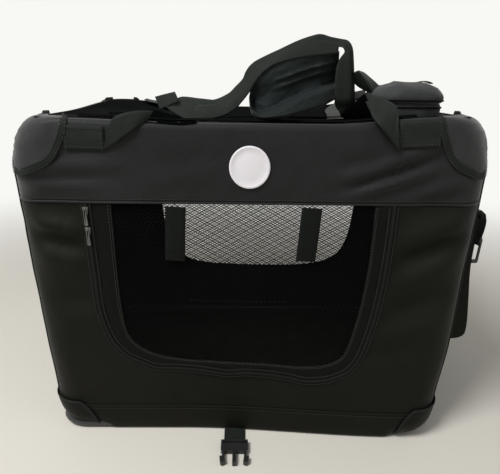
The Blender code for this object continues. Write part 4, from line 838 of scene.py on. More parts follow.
def relief(place, drape):
    """How far the cloth stands off its flat shape at a place on the cover."""
    x, y, z = place
    broad = noise.noise(place * 5.5) * drape + noise.noise(place * 16.0 + Vector((3, 1, 7))) * drape * 0.45
    fine = ripple(x * 60, y * 60, z * 28) * drape * 0.12
    hold = smooth(z, FOLD_Z - 0.004, FOLD_Z + 0.03) * (1 - smooth(z, ROOF_Z - 0.030, ROOF_Z - 0.008))
    front = fold_relief(x, z, FRONT_FOLDS) if y < 0 else fold_relief(-x, z, REAR_FOLDS)
    ends = fold_relief(y, z, END_FOLDS)
    return ((broad + fine) * hold + front * hold * smooth(abs(y), HALF_Y - 0.05, HALF_Y - 0.01)
            + ends * hold * smooth(abs(x), HALF_X - 0.05, HALF_X - 0.01))


def heights(low, high):
    """Rows from low to high, about a row's height apart."""
    count = max(2, round((high - low) / ROW))
    return [low + (high - low) * k / count for k in range(count + 1)]


CREST_ROWS = [(ROOF_Z - CREST + CREST * math.sin(math.radians(a)), 0.0) for a in (0, 20, 40, 58, 75, 90)]
ROOF_TUCK = [(ROOF_Z + 0.0002, 0.006), (ROOF_Z - 0.0004, 0.014)]


def flat_levels(low, high):
    """The same rows as levels without an inset."""
    return [(z, 0.0) for z in heights(low, high)]


def wall_sheet(run, levels, drape):
    """Cloth of one wall along a run of the outline, at levels of (height, inset)."""
    rows = []
    for z, inset in levels:
        loop = plan_loop(z, -inset)
        row = []
        for index in range(run[0], run[1] + 1):
            place = loop[index % LOOP]
            row.append(place + plan_normal(index) * relief(place, drape))
        rows.append(row)
    return loft(rows, inside=(0, 0, ROOF_Z / 2))


def on_wall(index, z, out=0.0):
    """Place on the cover's surface at an outline index and a height."""
    place = plan_loop(z)[index % LOOP]
    return place + plan_normal(index) * (relief(place, bpy.context.scene.crate_cloth.drape) + out)


# ---------------------------------------------------------------- operators

class CRATE_OT_cover(bpy.types.Operator):
    """Sewn walls of the cover, with the piping and stitching of their seams"""
    bl_idname = "crate.cover"
    bl_label = "Cover Walls"

    def execute(self, context):
        drape = context.scene.crate_cloth.drape
        crest = CREST_ROWS[1:] + ROOF_TUCK
        lower = flat_levels(FOLD_Z, SEAM_Z - CLEAR)
        upper = flat_levels(SEAM_Z, ROOF_Z - CREST) + crest
        whole = flat_levels(FOLD_Z, ROOF_Z - CREST) + crest
        doorway = [(p.x, p.y) for p in through(TRACK, 90)]
        doorway += [(doorway[-1][0], SEAM_Z + ROW), (doorway[0][0], SEAM_Z + ROW)]
        for name, node, run, levels, finish, hole, y in (
                ("front_wall", "front_panel", FRONT_RUN, lower, "oxford_panel", doorway, -HALF_Y),
                ("front_band", "front_band", FRONT_RUN, upper, "oxford_band", None, 0),
                ("left_wall", "left_panel", LEFT_RUN, whole, "oxford_panel", None, 0),
                ("right_wall", "right_panel", RIGHT_RUN, whole, "oxford_panel", None, 0),
                ("rear_wall", "rear_panel", REAR_RUN, whole, "oxford_panel", window_outline(0.0), HALF_Y)):
            wall = piece(name + "_cloth", wall_sheet(run, levels, drape), finish, "base", replaces=(node,),
                         slumps=True)
            thicken(wall, CLOTH, lining="oxford_lining_painted_shade")
            if hole:
                cut_hole(wall, hole_cutter(hole, y - 0.03, y + 0.03))
            fold_with_cover(wall)
        self.seams(context)
        return {"FINISHED"}

    def seams(self, context):
        """Piping down the four corner seams and along the band, with its line of stitches."""
        radius = context.scene.crate_webbing.piping
        for label, index in (("front_left", FRONT_RUN[0]), ("front_right", FRONT_RUN[1]),
                             ("rear_right", REAR_RUN[0]), ("rear_left", REAR_RUN[1])):
            path = [on_wall(index, z, radius * 0.5) for z in heights(FOLD_Z, ROOF_Z - CREST)]
            body = sweep(path, plan_normal(index), round_section(radius))
            piece("corner_piping_" + label, body, "grosgrain_binding", "base", folds=True)
        path = [on_wall(k, SEAM_Z, 0.0006) for k in range(FRONT_RUN[0], FRONT_RUN[1] + 1)]
        tape("band_seam", path, FRONTWARDS, (0.0034, 0.0009, 0.0008), "oxford_band", "base", folds=True)
        run = [on_wall(k, SEAM_Z + 0.0045, 0.0004) for k in range(FRONT_RUN[0] + 1, FRONT_RUN[1])]
        sewn("band_stitching", [run], FRONTWARDS, "base", folds=True)


def window_outline(grow):
    """Outline of the rear window in X and Z; its lower corners are wide and uneven."""
    middle = 0.5 * (WINDOW[0][0] + WINDOW[-1][0]), 0.25
    points = [(p.x, p.y) for p in curved([(x, z) for x, z in WINDOW], 4)]
    grown = []
    for x, z in points:
        away_x, away_z = x - middle[0], z - middle[1]
        reach = math.hypot(away_x, away_z)
        grown.append((x + grow * away_x / reach, min(SEAM_Z, z + grow * away_z / reach)))
    return grown


class CRATE_OT_roof(bpy.types.Operator):
    """Roof cloth, softly domed between the tubes, with its sewn lines"""
    bl_idname = "crate.roof"
    bl_label = "Roof"

    def execute(self, context):
        half_x, half_y = end_reach(ROOF_Z) - 0.004, side_reach(ROOF_Z) - 0.004
        rows = []
        for k in range(61):
            y = -half_y + 2 * half_y * k / 60
            row = []
            for i in range(81):
                x = -half_x + 2 * half_x * i / 80
                sag = smooth(min(half_x - abs(x), half_y - abs(y)), 0.0, 0.05)
                rise = 0.0035 * ripple(x * 6, y * 6, 2.0) + 0.0015 * ripple(x * 22, y * 18, 5.0)
                row.append(Vector((x, y, ROOF_Z + 0.0006 + sag * (rise - 0.0015))))
            rows.append(row)
        roof = piece("roof_cloth", loft(rows, inside=(0, 0, 0)), "oxford_roof", "top",
                     replaces=("roof_panel",), slumps=True)
        thicken(roof, CLOTH, lining="oxford_lining_painted_shade")
        for name, y, start, end in (("front", -0.2390, -0.80, 0.75), ("middle", -0.1650, -0.72, 0.72)):
            line = [Vector((half_x * (start + (end - start) * k / 80), y + 0.004 * ripple(k * 0.06, y, 3.0),
                            ROOF_Z + 0.0016)) for k in range(81)]
            tape("roof_seam_" + name, line, UPWARDS, (0.0034, 0.0022, 0.0010), "oxford_roof", "top",
                 slumps=True)
        runs = [[Vector((x / 50 * half_x * 0.93, y, ROOF_Z + 0.0014)) for x in range(-50, 51)]
                for y in (-half_y + 0.020, -half_y + 0.026, half_y - 0.020)]
        sewn("roof_stitching", runs, UPWARDS, "top", slumps=True)
        return {"FINISHED"}


class CRATE_OT_tray(bpy.types.Operator):
    """Base tray with its skirt, seam, and bound lower corner patches"""
    bl_idname = "crate.tray"
    bl_label = "Base Tray"

    def execute(self, context):
        drape = context.scene.crate_cloth.drape
        levels = [(0.0, 0.040), (0.0, 0.026), (0.0, 0.012), (0.0, 0.004), (0.0012, 0.0012), (0.004, 0.0)]
        levels += flat_levels(0.008, SKIRT_Z - 0.001) + [(SKIRT_Z, 0.0006)]
        rows = []
        for z, inset in levels:
            wave = drape * 0.6 * smooth(z, 0.004, 0.02)
            rows.append([p + plan_normal(k) * (noise.noise(p * 9) * wave - foot_inset(k, z))
                         for k, p in enumerate(plan_loop(z, -inset))])
        bm = loft(rows, ring=True)
        bmesh.ops.holes_fill(bm, edges=[e for e in bm.edges if e.is_boundary and e.verts[0].co.z < 0.001])
        outwards(bm, (0, 0, SKIRT_Z))
        tray = piece("tray_cloth", bm, "oxford_panel", "base", replaces=("base_tray",), slumps=True)
        thicken(tray, CLOTH, lining="oxford_lining_painted_shade")
        path = plan_loop(SKIRT_Z, 0.0004)
        normals = [plan_normal(k) for k in range(len(path))]
        seam = sweep(path, normals, tape_section(0.0045, 0.0008, 0.0006), closed=True)
        piece("skirt_seam", seam, "oxford_panel", "base", slumps=True)
        sewn("skirt_stitching", [plan_loop(SKIRT_Z - 0.0060, 0.0003)],
             lambda p: Vector((p.x / HALF_X ** 3, p.y / HALF_Y ** 3, 0)).normalized(), "base", slumps=True)
        for label, middle in corner_middles():
            self.patch(label, middle)
        return {"FINISHED"}

    def patch(self, label, middle):
        """Quarter-round patch over a lower corner, with a bound edge."""
        bottom, top = 0.0015, SKIRT_Z + 0.008
        rows = []
        for step in range(11):
            z = bottom + (top - bottom) * (step / 10)
            width = PATCH_REACH * math.sqrt(max(0.0, 1 - (step / 10 * 0.86) ** 2))
            spots = [middle - width + 2 * width * k / 24 for k in range(25)]
            rows.append([place_between(spot, z, PATCH_OUT - foot_inset(spot, z)) for spot in spots])
        made = piece("lower_patch_" + label, loft(rows, inside=(0, 0, 0.02)), "oxford_panel", "base",
                     slumps=True)
        thicken(made, 0.0009, 1.0)
        tape("lower_patch_binding_" + label, evenly(rim(rows), 60), away, (0.0060, 0.0010, 0.0005),
             "grosgrain_binding", "base", slumps=True)


def foot_inset(index, z):
    """How far a lower corner draws in towards the floor."""
    nearest = min(abs((index - middle + LOOP / 2) % LOOP - LOOP / 2) for _, middle in corner_middles())
    corner = 1 - smooth(nearest, CORNER_STEPS * 0.5, CORNER_STEPS * 1.7)
    share = min(1.0, max(0.0, 1 - z / FOOT_RADIUS))
    tuck = FOOT_TUCK * (1 - math.sqrt(max(0.0, 1 - share * share)))
    return corner * tuck + (1 - corner) * 0.003 * share ** 3


def corner_middles():
    """Outline index of the middle of each corner."""
    step = CORNER_STEPS // 2
    second = CORNER_STEPS + LONG_STEPS + step
    third = second + CORNER_STEPS + SHORT_STEPS
    return (("front_left", step), ("front_right", second), ("rear_right", third),
            ("rear_left", third + CORNER_STEPS + LONG_STEPS))


def away(place):
    """Outward direction in plan from the cover at a place near its corner."""
    x = max(abs(place.x) - (end_reach(place.z) - CORNER), 0.0) * (1 if place.x > 0 else -1)
    y = max(abs(place.y) - (side_reach(place.z) - CORNER), 0.0) * (1 if place.y > 0 else -1)
    if abs(x) + abs(y) < 1e-6:
        return Vector((0, 1 if place.y > 0 else -1, 0))
    return Vector((x, y, 0)).normalized()


def between(loop, index):
    """Place at a fractional index of an outline."""
    low = math.floor(index)
    return loop[low % LOOP].lerp(loop[(low + 1) % LOOP], index - low)


def place_between(index, z, out):
    """Place outside the smooth outline at a fractional index."""
    low = math.floor(index)
    n = plan_normal(low).lerp(plan_normal(low + 1), index - low).normalized()
    return between(plan_loop(z), index) + n * out


class CRATE_OT_corner_caps(bpy.types.Operator):
    """Bound cloth caps over the upper corners"""
    bl_idname = "crate.corner_caps"
    bl_label = "Corner Caps"

    def execute(self, context):
        for label, middle in corner_middles():
            self.cap(context, label, middle)
        return {"FINISHED"}

    def cap(self, context, label, middle):
        """The cap is the part of the corner that lies inside a ball round its tip."""
        drape = context.scene.crate_cloth.drape
        sign_x = 1 if "right" in label else -1
        sign_y = 1 if "rear" in label else -1
        centre = Vector((sign_x * (HALF_X - 0.016), sign_y * HALF_Y, ROOF_Z + 0.012))
        rows = []
        angles = (2, 12, 20, 28, 36, 44, 52, 60, 68, 75)
        levels = [centre.z - CAP_RADIUS * math.cos(math.radians(a)) for a in angles]
        levels = [(z, 0.0) for z in levels if z < ROOF_Z - CREST] + CREST_ROWS + [(ROOF_Z + 0.0006, 0.010)]
        for z, inset in levels:
            loop = plan_loop(z, -inset)
            inside = [k for k in range(middle - 40, middle + 41)
                      if (loop[k % LOOP] - centre).length < CAP_RADIUS]
            low, high = (inside[0], inside[-1]) if inside else (middle, middle)
            row = []
            for k in range(29):
                place = between(loop, low + (high - low) * k / 28)
                spoke = place - centre
                turn = math.atan2(spoke.z, abs(spoke.x) + abs(spoke.y))
                pucker = CAP_PUCKER * math.sin(turn * 13 + 2 * noise.noise(place * 30))
                pucker = max(-0.0009, pucker * smooth(spoke.length, 0.02, 0.05))
                pucker *= 1 - smooth(place.z, ROOF_Z - 0.03, ROOF_Z - 0.01)
                row.append(place + away(place) * (relief(place, drape) + CAP_OUT + pucker))
            rows.append(row)
        bm = loft(rows, inside=(sign_x * 0.2, sign_y * 0.15, 0.4))
        made = piece("corner_cap_" + label, bm, "oxford_cap", "base", replaces=("top_patch_" + label,),
                     folds=True)
        thicken(made, CLOTH, 1.0)
        path = evenly(rim(rows[::-1]), 90)
        for _ in range(3):
            eased = [(a + b * 2 + c) / 4 for a, b, c in zip(path, path[1:], path[2:])]
            path = [path[0]] + eased + [path[-1]]
        width = context.scene.crate_webbing.binding
        tape("cap_binding_" + label, path, away, (width, 0.0016, 0.0006), "grosgrain_binding", "base",
             folds=True)
        for side, shift in (("inner", -0.36), ("outer", 0.36)):
            run = offset_line(path, away, width * shift, 0.0024)
            sewn("cap_stitching_%s_%s" % (label, side), [run], away, "base", folds=True)


def offset_line(path, outward, side, out):
    """The path moved sideways along the surface and out from it."""
    moved = []
    for k, place in enumerate(path):
        along = (path[min(k + 1, len(path) - 1)] - path[max(k - 1, 0)]).normalized()
        up = facing(outward, place, k)
        moved.append(place + up.cross(along).normalized() * side + up * out)
    return moved


class CRATE_OT_door(bpy.types.Operator):
    """Net door in its cloth border, with double stitching"""
    bl_idname = "crate.door"
    bl_label = "Net Door"

    def execute(self, context):
        settings = context.scene.crate_door
        outer = [Vector((p.x, -HALF_Y - 0.0002, p.y)) for p in through(TRACK, 150)]
        inner = [Vector((p.x, -HALF_Y + 0.0004, p.y)) for p in through(NET_EDGE, 150)]
        pairs = list(zip(outer, inner))
        rows = []
        for share in [k / 8 for k in range(9)]:
            bow = math.sin(math.pi * share)
            row = []
            for k, (a, b) in enumerate(pairs):
                bulge = bow * (0.0016 * ripple(k * 0.35, share * 3, 4.0) - 0.0012)
                row.append(a.lerp(b, share) + Vector((0, bulge, 0)))
            rows.append(row)
        border = piece("door_border_cloth", loft(rows, inside=(0, 0.2, 0.25)), "oxford_border",
                       "front_door", replaces=("door_border",), folds=True)
        thicken(border, CLOTH)
        runs = [[a.lerp(b, share) + FRONTWARDS * 0.0010 for a, b in pairs] for share in (0.86, 0.95)]
        sewn("door_border_stitching", runs, FRONTWARDS, "front_door", folds=True)
        edge = [(p.x, p.y) for p in through(NET_EDGE, 90)]
        bm = net_sheet(edge, (-0.216, 0.190), (0.132, SEAM_Z - 0.002), -HALF_Y + 0.0016, 1, settings)
        piece("door_net_mesh", bm, "knitted_net", "front_door", 180, replaces=("door_net",), folds=True)
        return {"FINISHED"}


def inside_outline(x, z, outline):
    """True where a place lies inside a closed outline."""
    inside = False
    for (ax, az), (bx, bz) in zip(outline, outline[1:] + outline[:1]):
        if (az > z) != (bz > z) and x < ax + (bx - ax) * (z - az) / (bz - az):
            inside = not inside
    return inside


def net_sheet(edge, span_x, span_z, y, side, settings, scale=1.0):
    """Knitted net: a diamond lattice inside an outline, its cells opened by an inset."""
    width, height, strand = settings.net_width * scale, settings.net_height * scale, settings.strand
    count = math.ceil((span_x[1] - span_x[0]) / width + (span_z[1] - span_z[0]) / height) + 2
    bm = bmesh.new()
    bmesh.ops.create_grid(bm, x_segments=count, y_segments=count, size=count / 2)
    half = math.sqrt(0.5)
    bmesh.ops.rotate(bm, verts=bm.verts, cent=(0, 0, 0), matrix=Matrix.Rotation(math.radians(45), 3, "Z"))
    bmesh.ops.scale(bm, verts=bm.verts, vec=(width * half, height * half, 1.0))
    bmesh.ops.rotate(bm, verts=bm.verts, cent=(0, 0, 0), matrix=Matrix.Rotation(math.radians(90), 3, "X"))
    middle = ((span_x[0] + span_x[1]) / 2, y, (span_z[0] + span_z[1]) / 2)
    bmesh.ops.translate(bm, verts=bm.verts, vec=middle)
    lowest_x, highest_x = min(p[0] for p in edge), max(p[0] for p in edge)
    lowest_z = min(p[1] for p in edge)
    grown = [(x + (0.004 if x > middle[0] else -0.004), z - (0.004 if z < lowest_z + 0.05 else 0.0))
             for x, z in edge]
    extra = []
    for face in bm.faces:
        c = face.calc_center_median()
        outside = c.z > span_z[1] or c.z < lowest_z - 0.01 or not lowest_x - 0.01 < c.x < highest_x + 0.01
        if outside or not inside_outline(c.x, c.z, grown):
            extra.append(face)
    bmesh.ops.delete(bm, geom=extra, context="FACES")
    whole = list(bm.faces)
    bmesh.ops.inset_individual(bm, faces=whole, thickness=strand / 2)
    bmesh.ops.delete(bm, geom=whole, context="FACES_ONLY")
    bmesh.ops.recalc_face_normals(bm, faces=bm.faces)
    outwards(bm, (0, y + side * 0.5, 0.25))
    bmesh.ops.solidify(bm, geom=bm.faces, thickness=strand * 0.6)
    return bm


class CRATE_OT_zip(bpy.types.Operator):
    """Zip tape and teeth round the door, and the pair of sliders"""
    bl_idname = "crate.zip"
    bl_label = "Door Zip"

    def execute(self, context):
        settings = context.scene.crate_door
        track = [Vector((p.x, -HALF_Y - 0.0010 + 0.0006 * ripple(p.x * 40, p.y * 40, 1.0), p.y))
                 for p in through(TRACK, 260)]
        tape("zip_tape", track, FRONTWARDS, (settings.tape, 0.0006), "zip_tape_cloth", "front_door",
             folds=True)
        runs = [offset_line(track, FRONTWARDS, settings.tape * side, 0.0006) for side in (-0.38, 0.38)]
        sewn("zip_stitching", runs, FRONTWARDS, "front_door", folds=True)
        core = sweep([p + FRONTWARDS * 0.0006 for p in track], FRONTWARDS, tape_section(0.0030, 0.0010))
        spots = evenly(track, round(length_of(track) / settings.tooth))
        bars = bmesh.new()
        for a, b in zip(spots, spots[1:]):
            add_bar(bars, a + FRONTWARDS * 0.0015, (b - a).normalized(), FRONTWARDS,
                    (0.0052, settings.tooth * 0.55, 0.0014))
        piece("zip_teeth", joined([core, bars]), "zip_teeth_acetal", "front_door",
              replaces=("door_zip_chain",), folds=True)
        for name in ("upper", "lower"):
            self.slider("zip_slider_" + name)
            self.puller("zip_slider_" + name)
        return {"FINISHED"}

    def slider(self, node):
        """Slider body with its bridge."""
        low, high, middle, size = measured(node)
        bm = bmesh.new()
        bmesh.ops.create_cube(bm, size=1.0, matrix=Matrix.Diagonal((size.x, size.y * 0.62, size.z, 1.0)))
        bmesh.ops.scale(bm, verts=[v for v in bm.verts if v.co.z < 0], vec=(0.62, 1.0, 1.0))
        bevel(bm, bm.edges[:], 0.0009, 2)
        bmesh.ops.translate(bm, verts=bm.verts, vec=(middle.x, high.y - size.y * 0.31, middle.z))
        bridge = [Vector((middle.x, low.y + 0.0012 - 0.0011 * math.sin(math.pi * k / 8),
                          high.z - 0.001 - 0.0085 * k / 8)) for k in range(9)]
        arch = sweep(bridge, FRONTWARDS, tape_section(0.0026, 0.0008))
        piece(node + "_body", joined([bm, arch]), "zinc_sliders", node, 35, replaces=(node,), folds=True)

    def puller(self, node):
        """Flat puller with a sunk face that hangs from a slider."""
        middle, size = measured(node + "_puller")[2:]
        bm = bmesh.new()
        bmesh.ops.create_cube(bm, size=1.0, matrix=Matrix.Diagonal((size.x * 0.8, size.y, size.z, 1.0)))
        bmesh.ops.scale(bm, verts=[v for v in bm.verts if v.co.z > 0], vec=(0.72, 1.0, 1.0))
        bevel(bm, [e for e in bm.edges if abs(e.verts[0].co.y - e.verts[1].co.y) > size.y / 2],
              size.x * 0.3, 4)
        bm.faces.ensure_lookup_table()
        flats = [f for f in bm.faces if abs(f.normal.y) > 0.9]
        bmesh.ops.inset_individual(bm, faces=flats, thickness=size.x * 0.17)
        for face in flats:
            bmesh.ops.translate(bm, verts=face.verts, vec=face.normal * -size.y * 0.22)
        bmesh.ops.translate(bm, verts=bm.verts, vec=middle)
        piece(node + "_pull", bm, "zinc_sliders", node + "_puller", 35, replaces=(node + "_puller",),
              folds=True)


class CRATE_OT_window(bpy.types.Operator):
    """Net and bound edge of the rear window"""
    bl_idname = "crate.window"
    bl_label = "Rear Window"

    def execute(self, context):
        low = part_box("rear_window_net")[0]
        bm = net_sheet(window_outline(0.0), (low.x - 0.004, WINDOW[-1][0] + 0.004),
                       (low.z - 0.004, SEAM_Z - 0.002), HALF_Y - 0.0020, -1, context.scene.crate_door, 1.25)
        piece("rear_window_mesh", bm, "knitted_net", "base", 180, replaces=("rear_window_net",), folds=True)
        loop = evenly([Vector((x, HALF_Y + 0.0006, z)) for x, z in window_outline(0.002)], 160)
        tape("rear_window_binding", loop, BACKWARDS, (0.016, 0.0010, 0.0004), "grosgrain_binding", "base",
             folds=True)
        inner = [Vector((p.x, HALF_Y - 0.0030, p.z)) for p in loop]
        tape("rear_window_facing", inner, FRONTWARDS, (0.018, 0.0008, 0.0003), "oxford_lining_painted_shade", "base",
             folds=True)
        # Pale cord along the lining's rear seam, seen through the door: painted light, the thin bright line
        # at the foot of the rear wall
        seam = [Vector((-0.157 + 0.264 * k / 20, HALF_Y - 0.0100, 0.0290 - 0.0040 * k / 20))
                for k in range(21)]
        piece("floor_seam_tape", sweep(seam, FRONTWARDS, round_section(0.0015)), "bleached_tape", "base")
        return {"FINISHED"}


class CRATE_OT_front_trim(bpy.types.Operator):
    """Tie straps over the door and the round badge"""
    bl_idname = "crate.front_trim"
    bl_label = "Ties and Badge"

    def execute(self, context):
        for side, lean in (("left", -0.0045), ("right", -0.0050)):
            node = "tie_strap_" + side
            low, high, middle, size = measured(node)
            path = []
            for share in [k / 14 for k in range(15)]:
                bow = 0.0022 * math.sin(share * 2.6)
                path.append(Vector((middle.x + lean * share, low.y - 0.0006 - bow,
                                    high.z - size.z * share)))
            body = sweep(path, FRONTWARDS, tape_section(size.x, 0.0013, 0.0004))
            hem = sweep([p + FRONTWARDS * 0.0014 for p in path[-3:]], FRONTWARDS,
                        tape_section(size.x * 0.99, 0.0010, 0.0002))
            piece("tie_" + side + "_tape", joined([body, hem]), "door_tie_webbing", node, replaces=(node,),
                  folds=True)
        self.badge(context.scene.crate_cloth.drape)
        return {"FINISHED"}

    def badge(self, drape):
        """Plain round badge with a raised rim."""
        _, high, middle, size = measured("badge")
        radius = size.x / 2
        profile = [(0.0, 0.0014), (0.6, 0.0013), (0.86, 0.0010), (0.90, 0.0016), (0.96, 0.0018),
                   (0.995, 0.0012), (1.0, 0.0), (0.6, -0.0004), (0.0, -0.0004)]
        bm = bmesh.new()
        verts = [bm.verts.new((radius * a, b, 0.0)) for a, b in profile]
        edges = [bm.edges.new(pair) for pair in zip(verts, verts[1:])]
        bmesh.ops.spin(bm, geom=verts + edges, cent=(0, 0, 0), axis=(0, 1, 0), angle=math.tau, steps=64,
                       use_merge=True)
        bmesh.ops.remove_doubles(bm, verts=bm.verts, dist=1e-5)
        bmesh.ops.scale(bm, verts=bm.verts, vec=(1, -1, 1))
        bmesh.ops.translate(bm, verts=bm.verts, vec=(middle.x, high.y - 0.0006, middle.z))
        for vert in bm.verts:
            vert.co.y -= relief(Vector((vert.co.x, -HALF_Y, vert.co.z)), drape)
        bmesh.ops.recalc_face_normals(bm, faces=bm.faces)
        piece("badge_disc", bm, "white_pvc", "base", 40, replaces=("badge",), folds=True)


class CRATE_OT_webbing(bpy.types.Operator):
    """Sewn tabs under the crests and the webbing that crosses the roof to the handle"""
    bl_idname = "crate.webbing"
    bl_label = "Roof Webbing"

    def execute(self, context):
        for end, sign_y in (("front", -1), ("rear", 1)):
            for side, sign_x in (("left", -1), ("right", 1)):
                self.tab("%s_%s" % (end, side), sign_x, sign_y)
        cover = surface_tree("front_band_cloth", "roof_cloth", "corner_cap_front_left",
                             "corner_cap_front_right", "pouch_body_cloth", "pouch_lid_cloth")
        nodes = {"left_crossing": ("roof_strap_front_left",), "right_crossing": ("roof_strap_front_right",)}
        for name in WEBBING:
            if name.startswith("handle"):
                continue
            bm = ribbon(*WEBBING[name], rests_on=cover if "crossing" in name else None)
            # The undersides get the near-black webbing: painted shade where the strap turns away into
            # shadow
            shaded = name.endswith("underside")
            if shaded:
                for vert in bm.verts:
                    vert.co = clear_of(cover, vert.co, 0.0006, 0.12)
            finish = "shaded_webbing" if shaded else "polypropylene_webbing"
            made = piece("webbing_" + name, bm, finish, "top", replaces=nodes.get(name, ()))
            thicken(made, 0.0015, 0.0)
        for side, sign in (("left", -1), ("right", 1)):
            self.rear_run(side, sign)
        return {"FINISHED"}

    def tab(self, label, sign_x, sign_y):
        """Webbing sewn flat on the wall, with a stitched box; the right front one reaches the crest."""
        low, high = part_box("strap_tab_" + label)
        bottom, top = (low.z + 0.004, ROOF_Z - 0.0008) if label == "front_right" else (low.z, high.z)
        left, right = (low.x + 0.002, high.x + 0.004) if sign_x > 0 else (low.x - 0.004, high.x - 0.002)
        if label == "front_right":
            left -= 0.0065
        drape = bpy.context.scene.crate_cloth.drape

        def place(x, z, out):
            flat = Vector((x, sign_y * side_reach(z), z))
            flat.y += sign_y * (relief(flat, drape) + out)
            return flat

        rows = [[place(left + (right - left) * k / 16, bottom + (top - bottom) * i / 10, 0.0012)
                 for i in range(11)] for k in range(17)]
        made = piece("strap_tab_webbing_" + label, loft(rows, inside=(0, 0, bottom)),
                     "polypropylene_webbing", "base", replaces=("strap_tab_" + label,), folds=True)
        thicken(made, 0.0014, 1.0)
        left, right, bottom, top = left + TAB_SEAM, right - TAB_SEAM, bottom + TAB_SEAM, top - TAB_SEAM
        corners = [(left, bottom), (right, bottom), (right, top), (left, top)]
        runs = [[place(x + (next_x - x) * k / 8, z + (next_z - z) * k / 8, 0.0029) for k in range(9)]
                for (x, z), (next_x, next_z) in zip(corners, corners[1:] + corners[:1])]
        sewn("strap_tab_stitching_" + label, runs, Vector((0, sign_y, 0)), "base", folds=True)

    def rear_run(self, side, sign):
        """Webbing from the rear crest over the roof to the handle's foot."""
        node = "roof_strap_rear_" + side
        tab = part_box("strap_tab_rear_" + side)
        x = (tab[0].x + tab[1].x) / 2 - sign * 0.008
        foot = -0.085 if side == "left" else 0.130
        points = [(x, HALF_Y + 0.0022, ROOF_Z - 0.012), (x, HALF_Y - 0.003, ROOF_Z - 0.0016),
                  (x - sign * 0.006, HALF_Y - 0.014, ROOF_Z + 0.0016),
                  (x - sign * 0.020, 0.16, ROOF_Z + 0.0048), (foot + sign * 0.030, 0.02, ROOF_Z + 0.0040),
                  (foot + sign * 0.010, -0.12, ROOF_Z + 0.0026), (foot, -0.188, ROOF_Z + 0.0006)]
        path = through(points, 60)
        path = [p + Vector((0, 0, max(0.0, 0.0022 * noise.noise(p * 14)))) for p in path]
        tape("roof_webbing_rear_" + side, path, strap_normals(path, Vector((sign, 0, 0))),
             (0.038, 0.0014, 0.0003), "polypropylene_webbing", "top", replaces=(node,), slumps=True)


def surface_tree(*names):
    """Search tree over the surfaces of pieces that are already made."""
    verts, faces = [], []
    for name in names:
        mesh = bpy.data.objects[name].data
        faces += [[len(verts) + k for k in face.vertices] for face in mesh.polygons]
        verts += [vert.co.copy() for vert in mesh.vertices]
    return BVHTree.FromPolygons(verts, faces)


def clear_of(tree, place, gap, reach=0.035):
    """Moves a place that lies in the cover out towards the viewer's side until it rests on the cloth."""
    towards = (Vector(EYE) - place).normalized()
    hit = tree.ray_cast(place, towards, reach)[0]
    if hit is None:
        return place
    while hit is not None:
        place = hit + towards * 0.0002
        hit = tree.ray_cast(place, towards, reach)[0]
    return place + towards * gap


def ribbon(edge_a, edge_b, steps=6, rests_on=None):
    """Strip of webbing between two edges whose points pair off, slightly cupped, resting on a surface."""
    rows = [[a.lerp(b, k / 8) for k in range(9)]
            for a, b in zip(curved(edge_a, steps), curved(edge_b, steps))]
    before = None
    for k, row in enumerate(rows):
        along = rows[min(k + 1, len(rows) - 1)][4] - rows[max(k - 1, 0)][4]
        across = row[8] - row[0]
        up = across.cross(along).normalized()
        if up.dot(before or Vector(EYE) - row[4]) < 0:
            up = -up
        before = up
        for i in range(9):
            row[i] = row[i] + up * across.length * 0.03 * math.sin(math.pi * i / 8)
    if rests_on:
        moves = [max((clear_of(rests_on, p, 0.0016) - p).length for p in row) for row in rows]
        moves = [max(moves[max(0, k - 4):k + 5]) for k in range(len(moves))]
        for k, row in enumerate(rows):
            near = moves[max(0, k - 4):k + 5]
            for i in range(9):
                row[i] = row[i] + (Vector(EYE) - row[i]).normalized() * sum(near) / len(near)
    bm = loft(rows)
    bmesh.ops.recalc_face_normals(bm, faces=bm.faces)
    return bm


def strap_normals(path, across):
    """Upward direction of a flat strap whose width runs along across."""
    normals = []
    for k in range(len(path)):
        along = (path[min(k + 1, len(path) - 1)] - path[max(k - 1, 0)]).normalized()
        up = along.cross(across).normalized()
        normals.append(up if up.z > -0.05 else -up)
    return normals


